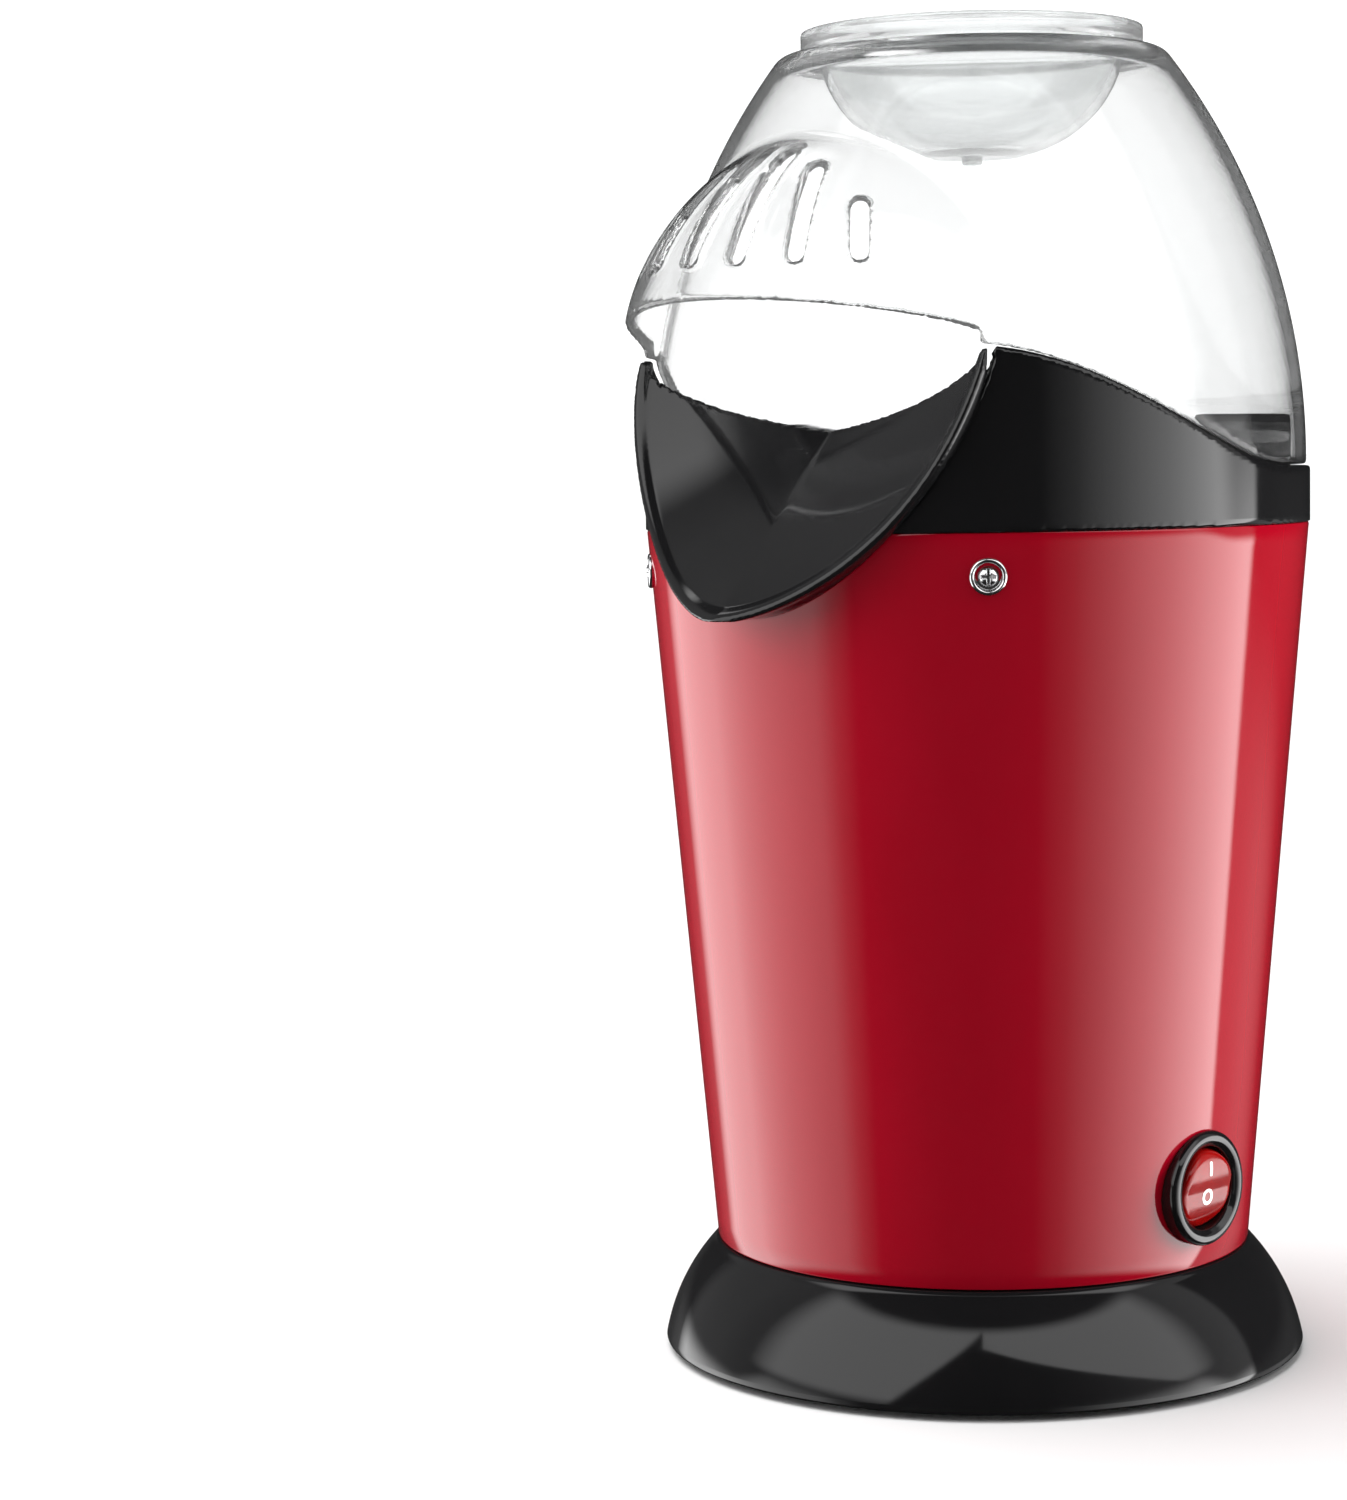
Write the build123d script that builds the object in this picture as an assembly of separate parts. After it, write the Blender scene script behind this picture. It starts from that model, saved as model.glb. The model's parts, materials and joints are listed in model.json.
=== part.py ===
"""Hot-air popcorn maker, an assembly of separate pieces.

Millimetres, +Z up. The origin is on the vertical axis of the round body, in the plane the feet
stand on. The spout points towards -Y and the switch is on the +X side. Angles called az are
measured about the Z axis from the spout, and grow towards +X.
"""
from build123d import *
import os
from math import atan2, cos, hypot, pi, radians, sin

# Overall heights
BASE_TOP = 24.5         # base shell's ledge, where the body shell stands
BODY_TOP = 182.5        # joint between the body shell and the upper housing
RING_LOW = 194.5        # wavy ring edge, at the back
RING_PEAK = 220.0       # wavy ring edge, beside the spout
COVER_TOP = 285.0       # flat top of the clear cover, under the cup's rim
TOTAL_HEIGHT = 290.0    # cup's rim

# Outer shells
SEAM = 0.3              # gap between parts that part or only stand on each other
BODY_R_LOW = 59.0
BODY_R_HIGH = 72.5
BODY_WALL = 2.4
BASE_R = 71.0
BASE_R_TOP = 59.6
BASE_WALL = 2.2
BASE_LIFT = 1.5         # base shell's edge above the ground
SPIGOT_RISE = 6.0       # ring on the base that centres the body shell
BOSS_AT = 56.6          # radius of the base's screw bosses
BOSS_AZ = (45, 135, 225, 315)
FOOT_AT = 57.0
FOOT_AZ = (0, 90, 180, 270)
RING_R = 72.9
RING_WALL = 2.4
WAVE_START = 38.0       # az where the ring edge starts to fall
WAVE_LENGTH = 68.0      # degrees over which it falls
COLLAR_R = 68.5
COLLAR_WALL = 2.2
COLLAR_TOP = 205.5
DECK_TOP = 204.0
DECK_T = 2.4
RING_FLOOR = 192.0      # top of the shelf that joins collar and ring
PLUG_R = 67.4           # inside of the skirt that plugs into the body shell
PLUG_DEPTH = 6.5

# Spout chute: a gutter whose two faces twist from a deep V to a blunt nose
CHUTE_T = 2.3
CHUTE_BACK = 46.15      # chute's back edge, on the middle plane
SKIRT_T = 2.2           # wall that closes the chute's rim to the shells
CREASE_U = 46.0         # crease's distance from the axis, level with the deck
CREASE_RUN = 0.947      # outward run of the crease for each millimetre it falls
VEE_AT_DECK = 0.298     # outward lean of each face, per millimetre sideways, level with the deck
VEE_TWIST = 0.0111      # change of that lean for each millimetre of height
SILL_LEAN = 0.1725      # outward lean of the chute's back edge
CHUTE_HALF_WIDTH = 49.0
CHUTE_DEPTH = 54.2      # height of the chute's front outline
CHUTE_MID_Z = 219.0     # height where the outline is widest
CHUTE_POWER = 1.75      # exponent of the outline's superellipse

# Clear cover
COVER_WALL = 2.2
DOME_R = 71.9
DOME_ARC_R = 146.0
DOME_ARC_Z = 196.0
SHOULDER_R = 43.6
CUP_HOLE_R = 34.8
HOOD_Y = -35.0
HOOD_PROFILE = [(52.2, 221.0), (50.3, 231.5), (45.0, 241.5), (38.0, 252.5), (28.5, 261.3),
                (15.5, 267.3), (0.0, 269.0)]
LIP_Y = -54.0           # hood is cut away in front of this plane, below its arched lip
LIP_LOW = 220.5
LIP_RISE = 9.5
LIP_HALF_WIDTH = 48.7
SLOT_ANGLES = (8.0, 24.0, 40.0)
SLOT_TOPS = (260.7, 257.0, 249.3)
SLOT_BOTTOM = 237.0
SLOT_W = 3.8

# Measuring cup
CUP_RIM_R = 37.2
CUP_WALL = 1.8
CUP_PROFILE = [(13.0, 263.2), (20.8, 266.4), (26.6, 271.0), (31.8, 279.0), (33.6, 285.0)]
CUP_FLOOR = 262.6

# Popping chamber and heater
CHAMBER_R = 45.5
CHAMBER_WALL = 1.0
CHAMBER_FLOOR = 134.0
FLANGE_R = 51.5
CHAMBER_SCREW_AT = 48.8
LOUVRES = 20
DUCT_R = 54.0
DUCT_WALL = 1.0
RIM_R = 59.4            # rims of the duct and the shroud, screwed down together
DUCT_LOW = 98.0
DUCT_HIGH = 165.0
COIL_R = 40.0
COIL_WIRE_R = 0.9
COIL_PITCH = 5.0
COIL_TURNS = 4
COIL_LOW = 105.0

# Fan and motor
SHROUD_LOW = 74.0
SHROUD_WALL = 2.0
SHROUD_HOLE_R = 4.2     # clears the motor's upper bush
FAN_R = 46.0
FAN_LOW = 79.0
FAN_HIGH = 94.0
FAN_BLADES = 14
MOTOR_R = 18.0
MOTOR_LOW = 26.0
SHAFT_R = 1.6
SHAFT_FIT = 0.05        # radial running clearance
BUSH_R = 4.0
BUSH_HOLE_R = 4.1
MOTOR_SCREW_AT = 11.0
TERMINAL_AT = 12.0      # motor's terminals, through the rectifier board

# Switch and cord gland
SWITCH_Z = 42.5
BEZEL_R = 12.3
SWITCH_R = 10.0
SWITCH_BACK = 42.0      # back of the switch's barrel, from the axis
ROCKER_R = 8.2
ROCKER_HOLE_R = 8.9
PIVOT_X = 58.6
ROCKER_TILT = 10.0      # the rocker rests this far to its off side
GLAND_Z = 38.0
CORD_HOLE_R = 3.3
CLAMP_Y = 40.0
CLAMP_SCREW_AT = 8.0
PLATE_TOP = 5.5
LEAD_R = 1.0

SHELL_SCREW_Z = 173.6
SHELL_SCREW_AZ = (42.0, -42.0, 180.0)
RIB_AZ = (60.0, 180.0, 300.0)
RIB_TOP = 96.0
RIB_HOLE_R = 57.4


def body_radius(z):
    """Outer radius of the tapered body at a height."""
    return BODY_R_LOW + (BODY_R_HIGH - BODY_R_LOW) * (z - BASE_TOP) / (BODY_TOP - BASE_TOP)


def section(*points):
    """Face in the XZ plane from a closed outline of (radius, height) points."""
    return make_face(Polyline(*[(r, 0, z) for r, z in points], close=True))


def lathe(*points):
    """Solid of revolution about Z from a closed outline of (radius, height) points."""
    return revolve(section(*points), Axis.Z)


def tube(outer_r, inner_r, low, high):
    """Upright tube."""
    return lathe((inner_r, low), (outer_r, low), (outer_r, high), (inner_r, high))


def rod(radius, low, high):
    """Upright solid cylinder on the axis."""
    return Pos(0, 0, low) * Cylinder(radius, high - low, align=(Align.CENTER, Align.CENTER, Align.MIN))


def facing(az):
    """Turn that carries local +X to the outward direction at az."""
    return Rot(0, 0, az - 90)


def radial_rod(az, z, radius, r_in, r_out):
    """Cylinder whose axis points outwards at az."""
    rod_along_x = Cylinder(radius, r_out - r_in, align=(Align.CENTER, Align.CENTER, Align.MIN))
    return facing(az) * Pos(r_in, 0, z) * Rot(0, 90, 0) * rod_along_x


def radial_box(az, r_in, r_out, width, low, high):
    """Box that reaches from one radius to another at az."""
    low_end = (Align.MIN, Align.CENTER, Align.MIN)
    return facing(az) * Pos(r_in, 0, low) * Box(r_out - r_in, width, high - low, align=low_end)


def screw(head_r, head_h, shank_r, length):
    """Pan-head cross-recess screw, its head standing on z = 0 and its shank below."""
    head = rod(head_r, 0, head_h)
    head = fillet(head.edges().group_by(Axis.Z)[-1], head_h * 0.6)
    shank = rod(shank_r, -length, 0)
    tip = Pos(0, 0, -length) * Cone(0.3, shank_r, 1.2, align=(Align.CENTER, Align.CENTER, Align.MAX))
    recess_w = head_r * 0.28
    deep = Pos(0, 0, head_h) * Box(head_r * 1.2, recess_w, head_h * 1.1)
    return head + shank + tip - deep - Rot(0, 0, 90) * deep


def wave_height(az):
    """Height of the ring's wavy edge at az."""
    fall = min(max((abs(az) - WAVE_START) / WAVE_LENGTH, 0.0), 1.0)
    return RING_LOW + (RING_PEAK - RING_LOW) * (1 + cos(pi * fall)) / 2


def polar(az, r, z):
    """Point at a direction, a radius and a height."""
    return (r * sin(radians(az)), -r * cos(radians(az)), z)


def wave_block(r_in, r_out, lift, upwards):
    """Solid above or below the wavy surface that carries the ring's edge, between two radii."""
    steps = 60
    loops = []
    for radius in (r_in, r_out):
        points = []
        for i in range(steps):
            az = -180 + 360 * i / steps
            points.append(polar(az, radius, wave_height(az) + lift))
        loops.append(Spline(*points, periodic=True))
    surface = Face.make_surface_from_curves(loops[0].edge(), loops[1].edge())
    return extrude(surface, 70, dir=(0, 0, 1 if upwards else -1))


def gutter_line(side, sideways):
    """Line of the chute's gutter surface at a distance sideways from the middle plane."""
    ends = []
    for z in (158.0, 228.0):
        above_deck = z - DECK_TOP
        lean = VEE_AT_DECK + VEE_TWIST * above_deck
        out = CREASE_U - CREASE_RUN * above_deck + sideways * lean
        ends.append((side * sideways, -out, z))
    return Line(*ends)


def gutter_block(thickness):
    """Solid behind the chute's gutter surface, measured square to the crease."""
    block = Part()
    for side in (-1, 1):
        surface = Face.make_surface_from_curves(gutter_line(side, 0.0).edge(), gutter_line(side, 62.0).edge())
        block += extrude(surface, thickness, dir=(0, 1, -CREASE_RUN))
    return block


def chute_prism(grow, back, front, top):
    """Prism along Y of the chute's front outline, grown by an amount."""
    half_w = CHUTE_HALF_WIDTH + grow
    depth = CHUTE_DEPTH + grow
    steps = 16
    points = []
    for i in range(steps + 1):
        turn = pi * i / steps
        x = -half_w * (1 if cos(turn) > 0 else -1) * abs(cos(turn)) ** (2 / CHUTE_POWER)
        points.append((x, -back, CHUTE_MID_Z - depth * sin(turn) ** (2 / CHUTE_POWER)))
    curve = Spline(*points)
    lid = Polyline(points[-1], (half_w, -back, top), (-half_w, -back, top), points[0])
    return extrude(make_face(curve + lid), front - back, dir=(0, -1, 0))


def chute_clearance():
    """Space that the shells leave for the chute: its outline, in front of the gutter's back."""
    behind = gutter_block(110)
    gap = Pos(0, (CHUTE_T + SEAM) * 0.726, -(CHUTE_T + SEAM) * 0.688) * behind
    return chute_prism(SEAM, 38, 100, 240) - gap


def outer_envelope(grow):
    """Filled outside form of body and upper housing."""
    low_r = body_radius(150) + grow
    return lathe((0, 150), (low_r, 150), (BODY_R_HIGH + grow, BODY_TOP), (RING_R + grow, BODY_TOP),
                 (RING_R + grow, 240), (0, 240))


# ---------------------------------------------------------------- shells

def base_shell():
    outside = ThreePointArc((BASE_R, 0, BASE_LIFT), (67.4, 0, 12.8), (BASE_R_TOP, 0, BASE_TOP))
    spigot_r = BODY_R_LOW - BODY_WALL - SEAM
    spigot_in = spigot_r - 2
    spigot_top = BASE_TOP + SPIGOT_RISE
    ledge_low = BASE_TOP - BASE_WALL
    inside = ThreePointArc((58.0, 0, ledge_low), (65.2, 0, 11.8), (BASE_R - BASE_WALL, 0, BASE_LIFT))
    ledge = Polyline((BASE_R_TOP, 0, BASE_TOP), (spigot_r, 0, BASE_TOP), (spigot_r, 0, spigot_top),
                     (spigot_in, 0, spigot_top), (spigot_in, 0, ledge_low), (58.0, 0, ledge_low))
    foot_edge = Line((BASE_R - BASE_WALL, 0, BASE_LIFT), (BASE_R, 0, BASE_LIFT))
    shell = revolve(make_face(outside + ledge + inside + foot_edge), Axis.Z)
    for az in BOSS_AZ:
        boss = facing(az) * Pos(BOSS_AT, 0, 0) * (rod(3.6, 5.7, 23.5) - rod(1.2, 5.7, 17))
        shell += boss
        shell += radial_box(az, 59.8, 62.0, 2.0, 9.0, 20.5)
    return shell


def bottom_plate():
    plate = rod(67.3, 3.0, PLATE_TOP)
    for count, r_in, r_out in ((12, 12, 22), (20, 25, 35), (28, 38, 48)):
        for i in range(count):
            az = 360 * i / count
            plate -= radial_box(az, r_in, r_out, 3.2, 2, 7)
    for az in BOSS_AZ:
        plate -= facing(az) * Pos(BOSS_AT, 0, 0) * rod(1.7, 2, 7)
    for az in FOOT_AZ:
        plate -= facing(az) * Pos(FOOT_AT, 0, 0) * rod(2.5, 2, 7)
    return plate


def rubber_feet():
    foot = rod(6.5, 0, 2.9)
    foot = chamfer(foot.edges().group_by(Axis.Z)[0], 0.8)
    foot += rod(2.3, 2.9, 5.4)
    foot += rod(3.4, 5.6, 7.0) + rod(2.3, 5.4, 5.6)
    return [facing(az) * Pos(FOOT_AT, 0, 0) * foot for az in FOOT_AZ]


def base_screws():
    one = Rot(180, 0, 0) * screw(2.8, 1.6, 1.15, 11)
    return [facing(az) * Pos(BOSS_AT, 0, 2.95) * one for az in BOSS_AZ]


def body_shell():
    low = BASE_TOP + SEAM
    shell = lathe((body_radius(low), low), (BODY_R_HIGH, BODY_TOP), (BODY_R_HIGH - BODY_WALL, BODY_TOP),
                  (body_radius(low) - BODY_WALL, low))
    inside = lathe((0, low), (body_radius(low) - 1, low), (BODY_R_HIGH - 1, BODY_TOP), (0, BODY_TOP))
    for az in RIB_AZ:
        rib = radial_box(az, DUCT_R + 0.6, 68, 8, 52, RIB_TOP)
        rib -= facing(az) * Pos(RIB_HOLE_R, 0, 0) * rod(1.2, RIB_TOP - 14, RIB_TOP)
        shell += rib & inside
    shell -= chute_clearance()
    for az in SHELL_SCREW_AZ:
        shell -= radial_rod(az, SHELL_SCREW_Z, 2.2, 60, 80)
    shell -= radial_rod(90, SWITCH_Z, SWITCH_R + 0.15, 50, 70)
    shell -= radial_rod(180, GLAND_Z, 5.6, 50, 70)
    return shell


def upper_housing():
    ring_in = RING_R - RING_WALL
    collar_in = COLLAR_R - COLLAR_WALL
    shelf_low = RING_FLOOR - DECK_T
    plug_low = BODY_TOP - PLUG_DEPTH
    plug_r_low = body_radius(plug_low) - BODY_WALL - SEAM
    plug_r_high = BODY_R_HIGH - BODY_WALL - SEAM
    deck_in = CHAMBER_R + 0.7
    housing = lathe(
        (RING_R, BODY_TOP), (RING_R, RING_PEAK + 5), (ring_in, RING_PEAK + 5), (ring_in, RING_FLOOR),
        (COLLAR_R, RING_FLOOR), (COLLAR_R, COLLAR_TOP), (collar_in, COLLAR_TOP), (collar_in, DECK_TOP),
        (deck_in, DECK_TOP), (deck_in, DECK_TOP - DECK_T), (collar_in, DECK_TOP - DECK_T),
        (collar_in, shelf_low), (PLUG_R, shelf_low), (PLUG_R, plug_low), (plug_r_low, plug_low),
        (plug_r_high, BODY_TOP))
    housing -= wave_block(COLLAR_R + 0.6, RING_R + 6, 0, True)
    tab_room = lathe((0, 160), (body_radius(160) - BODY_WALL - SEAM, 160), (plug_r_high, BODY_TOP),
                     (PLUG_R + 0.5, BODY_TOP), (PLUG_R + 0.5, shelf_low + 1), (0, shelf_low + 1))
    for az in SHELL_SCREW_AZ:
        tab = radial_box(az, 61.5, 72, 10, 167, shelf_low + 0.5) & tab_room
        housing += tab - radial_rod(az, SHELL_SCREW_Z, 1.5, 60, 80)
        housing -= radial_rod(az, SHELL_SCREW_Z, 1.5, 60, 72)
    for az in RIB_AZ:
        housing -= facing(az) * Pos(CHAMBER_SCREW_AT, 0, 0) * rod(1.4, 190, 210)
    return housing - chute_clearance()


def spout_chute():
    half = CHUTE_HALF_WIDTH + 13
    corner = CHUTE_BACK + half * SILL_LEAN
    plan = Polyline((0, -CHUTE_BACK, 140), (half, -corner, 140), (half, -110, 140), (-half, -110, 140),
                    (-half, -corner, 140), close=True)
    in_front = extrude(make_face(plan), 100, dir=(0, 0, 1))
    outline = chute_prism(0, 38, 100, RING_PEAK)
    plate = gutter_block(CHUTE_T) & outline & in_front
    skirt = (outline - chute_prism(-SKIRT_T, 36, 102, 240)) & gutter_block(60)
    return plate + (skirt - outer_envelope(0.1))


def shell_screws():
    one = screw(3.1, 2.0, 1.45, 10)
    screws = []
    for az in SHELL_SCREW_AZ:
        seat = body_radius(SHELL_SCREW_Z) + 0.7
        screws.append(facing(az) * Pos(seat, 0, SHELL_SCREW_Z) * Rot(0, 90, 0) * one)
    return screws


def screw_cup_washers():
    ring = lathe((1.7, 0.1), (3.2, 0.1), (3.9, -0.1), (3.9, -1.2), (3.4, -1.2), (3.4, -0.5), (1.7, -0.5))
    washers = []
    for az in SHELL_SCREW_AZ:
        seat = body_radius(SHELL_SCREW_Z) + 0.55
        washer = facing(az) * Pos(seat, 0, SHELL_SCREW_Z) * Rot(0, 90, 0) * ring
        washers.append(washer - outer_envelope(0.02))
    return washers


# ---------------------------------------------------------------- clear cover and cup

def inset(profile, wall):
    """Profile points moved inwards, square to the curve."""
    moved = []
    last = len(profile) - 1
    for i, (r, z) in enumerate(profile):
        before = profile[max(i - 1, 0)]
        after = profile[min(i + 1, last)]
        dr = after[0] - before[0]
        dz = after[1] - before[1]
        if r == 0:
            dz = 0.0
        size = hypot(dr, dz)
        moved.append((max(r - wall * dz / size, 0.0), z + wall * dr / size))
    return moved


def dome_solid(wall):
    """Filled dome, smaller all over by a wall."""
    arc_r = DOME_ARC_R - wall
    centre_r = DOME_R - DOME_ARC_R
    top = COVER_TOP - wall
    shoulder = SHOULDER_R - wall
    shoulder_z = DOME_ARC_Z + (arc_r ** 2 - (shoulder - centre_r) ** 2) ** 0.5
    angle = atan2(shoulder_z - DOME_ARC_Z, shoulder - centre_r)
    middle = (centre_r + arc_r * cos(angle / 2), 0, DOME_ARC_Z + arc_r * sin(angle / 2))
    foot = (DOME_R - wall, 0, DOME_ARC_Z)
    arc = ThreePointArc(foot, middle, (shoulder, 0, shoulder_z))
    rest = Polyline((shoulder, 0, shoulder_z), (shoulder - 1.6, 0, top), (0, 0, top), (0, 0, 170),
                    (DOME_R - wall, 0, 170), foot)
    return revolve(make_face(arc + rest), Axis.Z)


def hood_solid(wall):
    """Filled hood over the spout, smaller all over by a wall."""
    profile = inset(HOOD_PROFILE, wall) if wall else HOOD_PROFILE
    points = [(r, 0, z) for r, z in profile]
    curve = Spline(*points, tangents=[(-0.06, 0, 1), (-1, 0, 0)])
    rest = Polyline(points[-1], (0, 0, 170), (points[0][0], 0, 170), points[0])
    return Pos(0, HOOD_Y, 0) * revolve(make_face(curve + rest), Axis.Z)


def lip_prism():
    """Everything under the hood's arched lip, in front of the ring."""
    skirt = Pos(0, -30) * Rectangle(2 * LIP_HALF_WIDTH + 24, 60)
    arch = Ellipse(LIP_HALF_WIDTH, LIP_RISE) + skirt
    shape = Plane((0, LIP_Y, LIP_LOW), x_dir=(1, 0, 0), z_dir=(0, -1, 0)) * arch
    return extrude(shape, 60, dir=(0, -1, 0))


def hood_slot(angle, top):
    """Upright round-ended cutter through the hood's wall."""
    height = top - SLOT_BOTTOM
    outline = Plane.YZ * SlotOverall(height, SLOT_W, rotation=90)
    cutter = extrude(outline, 48, dir=(1, 0, 0))
    return Pos(0, HOOD_Y, (top + SLOT_BOTTOM) / 2) * facing(angle) * Pos(14, 0, 0) * cutter


def top_cover():
    dome = dome_solid(0) - wave_block(60, 78, SEAM, False)
    hood_low = (Align.CENTER, Align.CENTER, Align.MAX)
    hood = hood_solid(0) - Pos(0, 0, RING_PEAK + SEAM) * Box(300, 300, 200, align=hood_low)
    cover = dome + hood
    cover -= dome_solid(COVER_WALL)
    cover -= hood_solid(COVER_WALL)
    cover -= lip_prism()
    cover -= rod(CUP_HOLE_R, 270, 300)
    for angle, top in zip(SLOT_ANGLES, SLOT_TOPS):
        cover -= hood_slot(angle, top)
        cover -= hood_slot(-angle, top)
    return cover


def measuring_cup():
    rim_in = CUP_RIM_R - 2.0
    seat = COVER_TOP + SEAM
    points = [(r, 0, z) for r, z in CUP_PROFILE]
    floor = CUP_FLOOR
    outside = Spline(*points)
    inner = [(r, 0, z) for r, z in inset(CUP_PROFILE, CUP_WALL)]
    inside = Spline(*inner)
    under = Polyline(points[0], (11.5, 0, floor), (0, 0, floor), (0, 0, floor + CUP_WALL),
                     (11.0, 0, floor + CUP_WALL), inner[0])
    rim = Polyline(inner[-1], (rim_in - 1.2, 0, 287.2), (rim_in, 0, 289.2), (rim_in, 0, TOTAL_HEIGHT),
                   (CUP_RIM_R, 0, TOTAL_HEIGHT), (CUP_RIM_R, 0, seat), (33.7, 0, seat), points[-1])
    bowl = revolve(make_face(outside + under + inside + rim), Axis.Z)
    bowl += rod(2.2, floor - 1.8, floor + 0.5)
    bowl -= radial_box(-30, CUP_RIM_R - 2.6, CUP_RIM_R + 2, 3.4, TOTAL_HEIGHT - 1.0, TOTAL_HEIGHT + 2)
    return bowl


# ---------------------------------------------------------------- popping chamber and heater

def popping_chamber():
    inner = CHAMBER_R - CHAMBER_WALL
    low = CHAMBER_FLOOR
    lip = DECK_TOP + 1.0
    pan = lathe((0, low + 5), (14, low), (41, low), (CHAMBER_R, low + 4.5), (CHAMBER_R, DECK_TOP),
                (FLANGE_R, DECK_TOP), (FLANGE_R, lip), (inner, lip), (inner, low + 4.9),
                (40.6, low + 1), (14.3, low + 1), (0, low + 6.1))
    slot = Box(8, 1.8, 15)
    for i in range(LOUVRES):
        pan -= facing(360 * i / LOUVRES) * Pos(CHAMBER_R, 0, 151) * Rot(28, 0, 0) * slot
    in_front = (Align.CENTER, Align.MAX, Align.CENTER)
    pan -= Pos(0, -CHAMBER_R - 0.2, DECK_TOP) * Box(120, 40, 20, align=in_front)
    for az in RIB_AZ:
        pan -= facing(az) * Pos(CHAMBER_SCREW_AT, 0, 0) * rod(1.6, 200, 210)
    return pan


def chamber_screws():
    one = Pos(CHAMBER_SCREW_AT, 0, DECK_TOP + 1.02) * screw(2.4, 1.5, 1.35, 6)
    return [facing(az) * one for az in RIB_AZ]


def heater_duct():
    inner = DUCT_R - DUCT_WALL
    top_in = CHAMBER_R + 0.4
    duct = lathe((inner, DUCT_LOW), (RIM_R, DUCT_LOW), (RIM_R, DUCT_LOW + 1), (DUCT_R, DUCT_LOW + 1),
                 (DUCT_R, DUCT_HIGH), (top_in, DUCT_HIGH), (top_in, DUCT_HIGH - 1),
                 (inner, DUCT_HIGH - 1))
    for az in RIB_AZ:
        duct -= facing(az) * Pos(RIB_HOLE_R, 0, 0) * rod(1.6, 90, 105)
    return duct


def duct_screws():
    one = Pos(RIB_HOLE_R, 0, DUCT_LOW + 1.02) * screw(2.0, 1.5, 1.15, 12)
    return [facing(az) * one for az in RIB_AZ]


def mica_liner():
    outer = DUCT_R - DUCT_WALL - 0.2
    return tube(outer, outer - 0.6, DUCT_LOW + 2, DUCT_HIGH - 3)


def mica_cross():
    half = COIL_R + 5
    low = COIL_LOW - 5
    high = COIL_LOW + COIL_PITCH * COIL_TURNS + 4
    cross = Part()
    for turn in (0, 90):
        cross += Rot(0, 0, turn) * Pos(0, 0, (low + high) / 2) * Box(2 * half, 0.8, high - low)
    for arm in range(4):
        for i in range(COIL_TURNS + 1):
            z = COIL_LOW + COIL_PITCH * (i + arm / 4)
            cross -= Rot(0, 0, 90 * arm) * Pos(COIL_R, 0, z) * Box(3.2, 3, 3.2)
    return cross


def heating_coil():
    path = Helix(COIL_PITCH, COIL_PITCH * COIL_TURNS, COIL_R)
    start = Plane(origin=path @ 0, z_dir=path % 0)
    return Pos(0, 0, COIL_LOW) * sweep(start * Circle(COIL_WIRE_R), path=path)


def thermostat():
    z = 130
    seat = DUCT_R + 0.1
    body = radial_rod(200, z, 8.0, seat, seat + 1.2) + radial_rod(200, z, 6.6, seat + 1.1, seat + 6)
    for shift in (-3, 3):
        body += facing(200) * Pos(seat + 6, shift, z) * Box(4, 0.8, 4)
    return body


def thermal_fuse():
    body = facing(150) * Pos(57.2, 0, 0) * (rod(2.0, 124, 134) + rod(0.5, 118, 140))
    return body + radial_box(150, DUCT_R + 0.1, 57.2, 1.0, 128, 130)


# ---------------------------------------------------------------- fan and motor

def fan_shroud():
    inner = DUCT_R - SHROUD_WALL
    high = DUCT_LOW - 0.05
    floor_top = SHROUD_LOW + SHROUD_WALL
    shroud = lathe((SHROUD_HOLE_R, SHROUD_LOW), (DUCT_R, SHROUD_LOW), (DUCT_R, RIB_TOP), (RIM_R, RIB_TOP),
                   (RIM_R, high), (inner, high), (inner, floor_top), (SHROUD_HOLE_R, floor_top))
    for i in range(10):
        shroud -= radial_box(36 * i + 18, 21, 38, 6, SHROUD_LOW - 1, SHROUD_LOW + 3)
    for side in (-1, 1):
        shroud -= Pos(MOTOR_SCREW_AT * side, 0, 0) * rod(1.6, SHROUD_LOW - 1, SHROUD_LOW + 3)
    for az in RIB_AZ:
        shroud -= facing(az) * Pos(RIB_HOLE_R, 0, 0) * rod(1.6, 90, 105)
    return shroud


def fan_impeller():
    disc = tube(FAN_R, SHAFT_R, FAN_HIGH - 1.2, FAN_HIGH)
    fan = disc + tube(7, SHAFT_R, FAN_LOW, FAN_HIGH)
    for i in range(FAN_BLADES):
        start = 360 * i / FAN_BLADES
        blade = Pos(30.5, 0, FAN_LOW + 7) * Rot(0, 0, 24) * Box(29, 1.2, 14)
        fan += Rot(0, 0, start) * blade & rod(FAN_R, FAN_LOW, FAN_HIGH)
    return fan


def motor_shaft():
    return rod(SHAFT_R, 21.5, FAN_HIGH + 1.5)


def motor_can():
    wall = 1.0
    can = tube(MOTOR_R, MOTOR_R - wall, MOTOR_LOW, SHROUD_LOW)
    can += tube(MOTOR_R, BUSH_HOLE_R, SHROUD_LOW - wall, SHROUD_LOW)
    for side in (-1, 1):
        can -= Pos(MOTOR_SCREW_AT * side, 0, 0) * rod(1.3, SHROUD_LOW - 3, SHROUD_LOW + 1)
    return can


def motor_end_cap():
    low = MOTOR_LOW - 3
    cap = tube(MOTOR_R, BUSH_HOLE_R, low, MOTOR_LOW)
    cap += tube(MOTOR_R - 1.1, MOTOR_R - 2.4, MOTOR_LOW, MOTOR_LOW + 4)
    hanging = (Align.CENTER, Align.CENTER, Align.MAX)
    for side in (-1, 1):
        cap += Pos(TERMINAL_AT * side, 0, low) * Box(4, 0.8, 8, align=hanging)
    return cap


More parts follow.
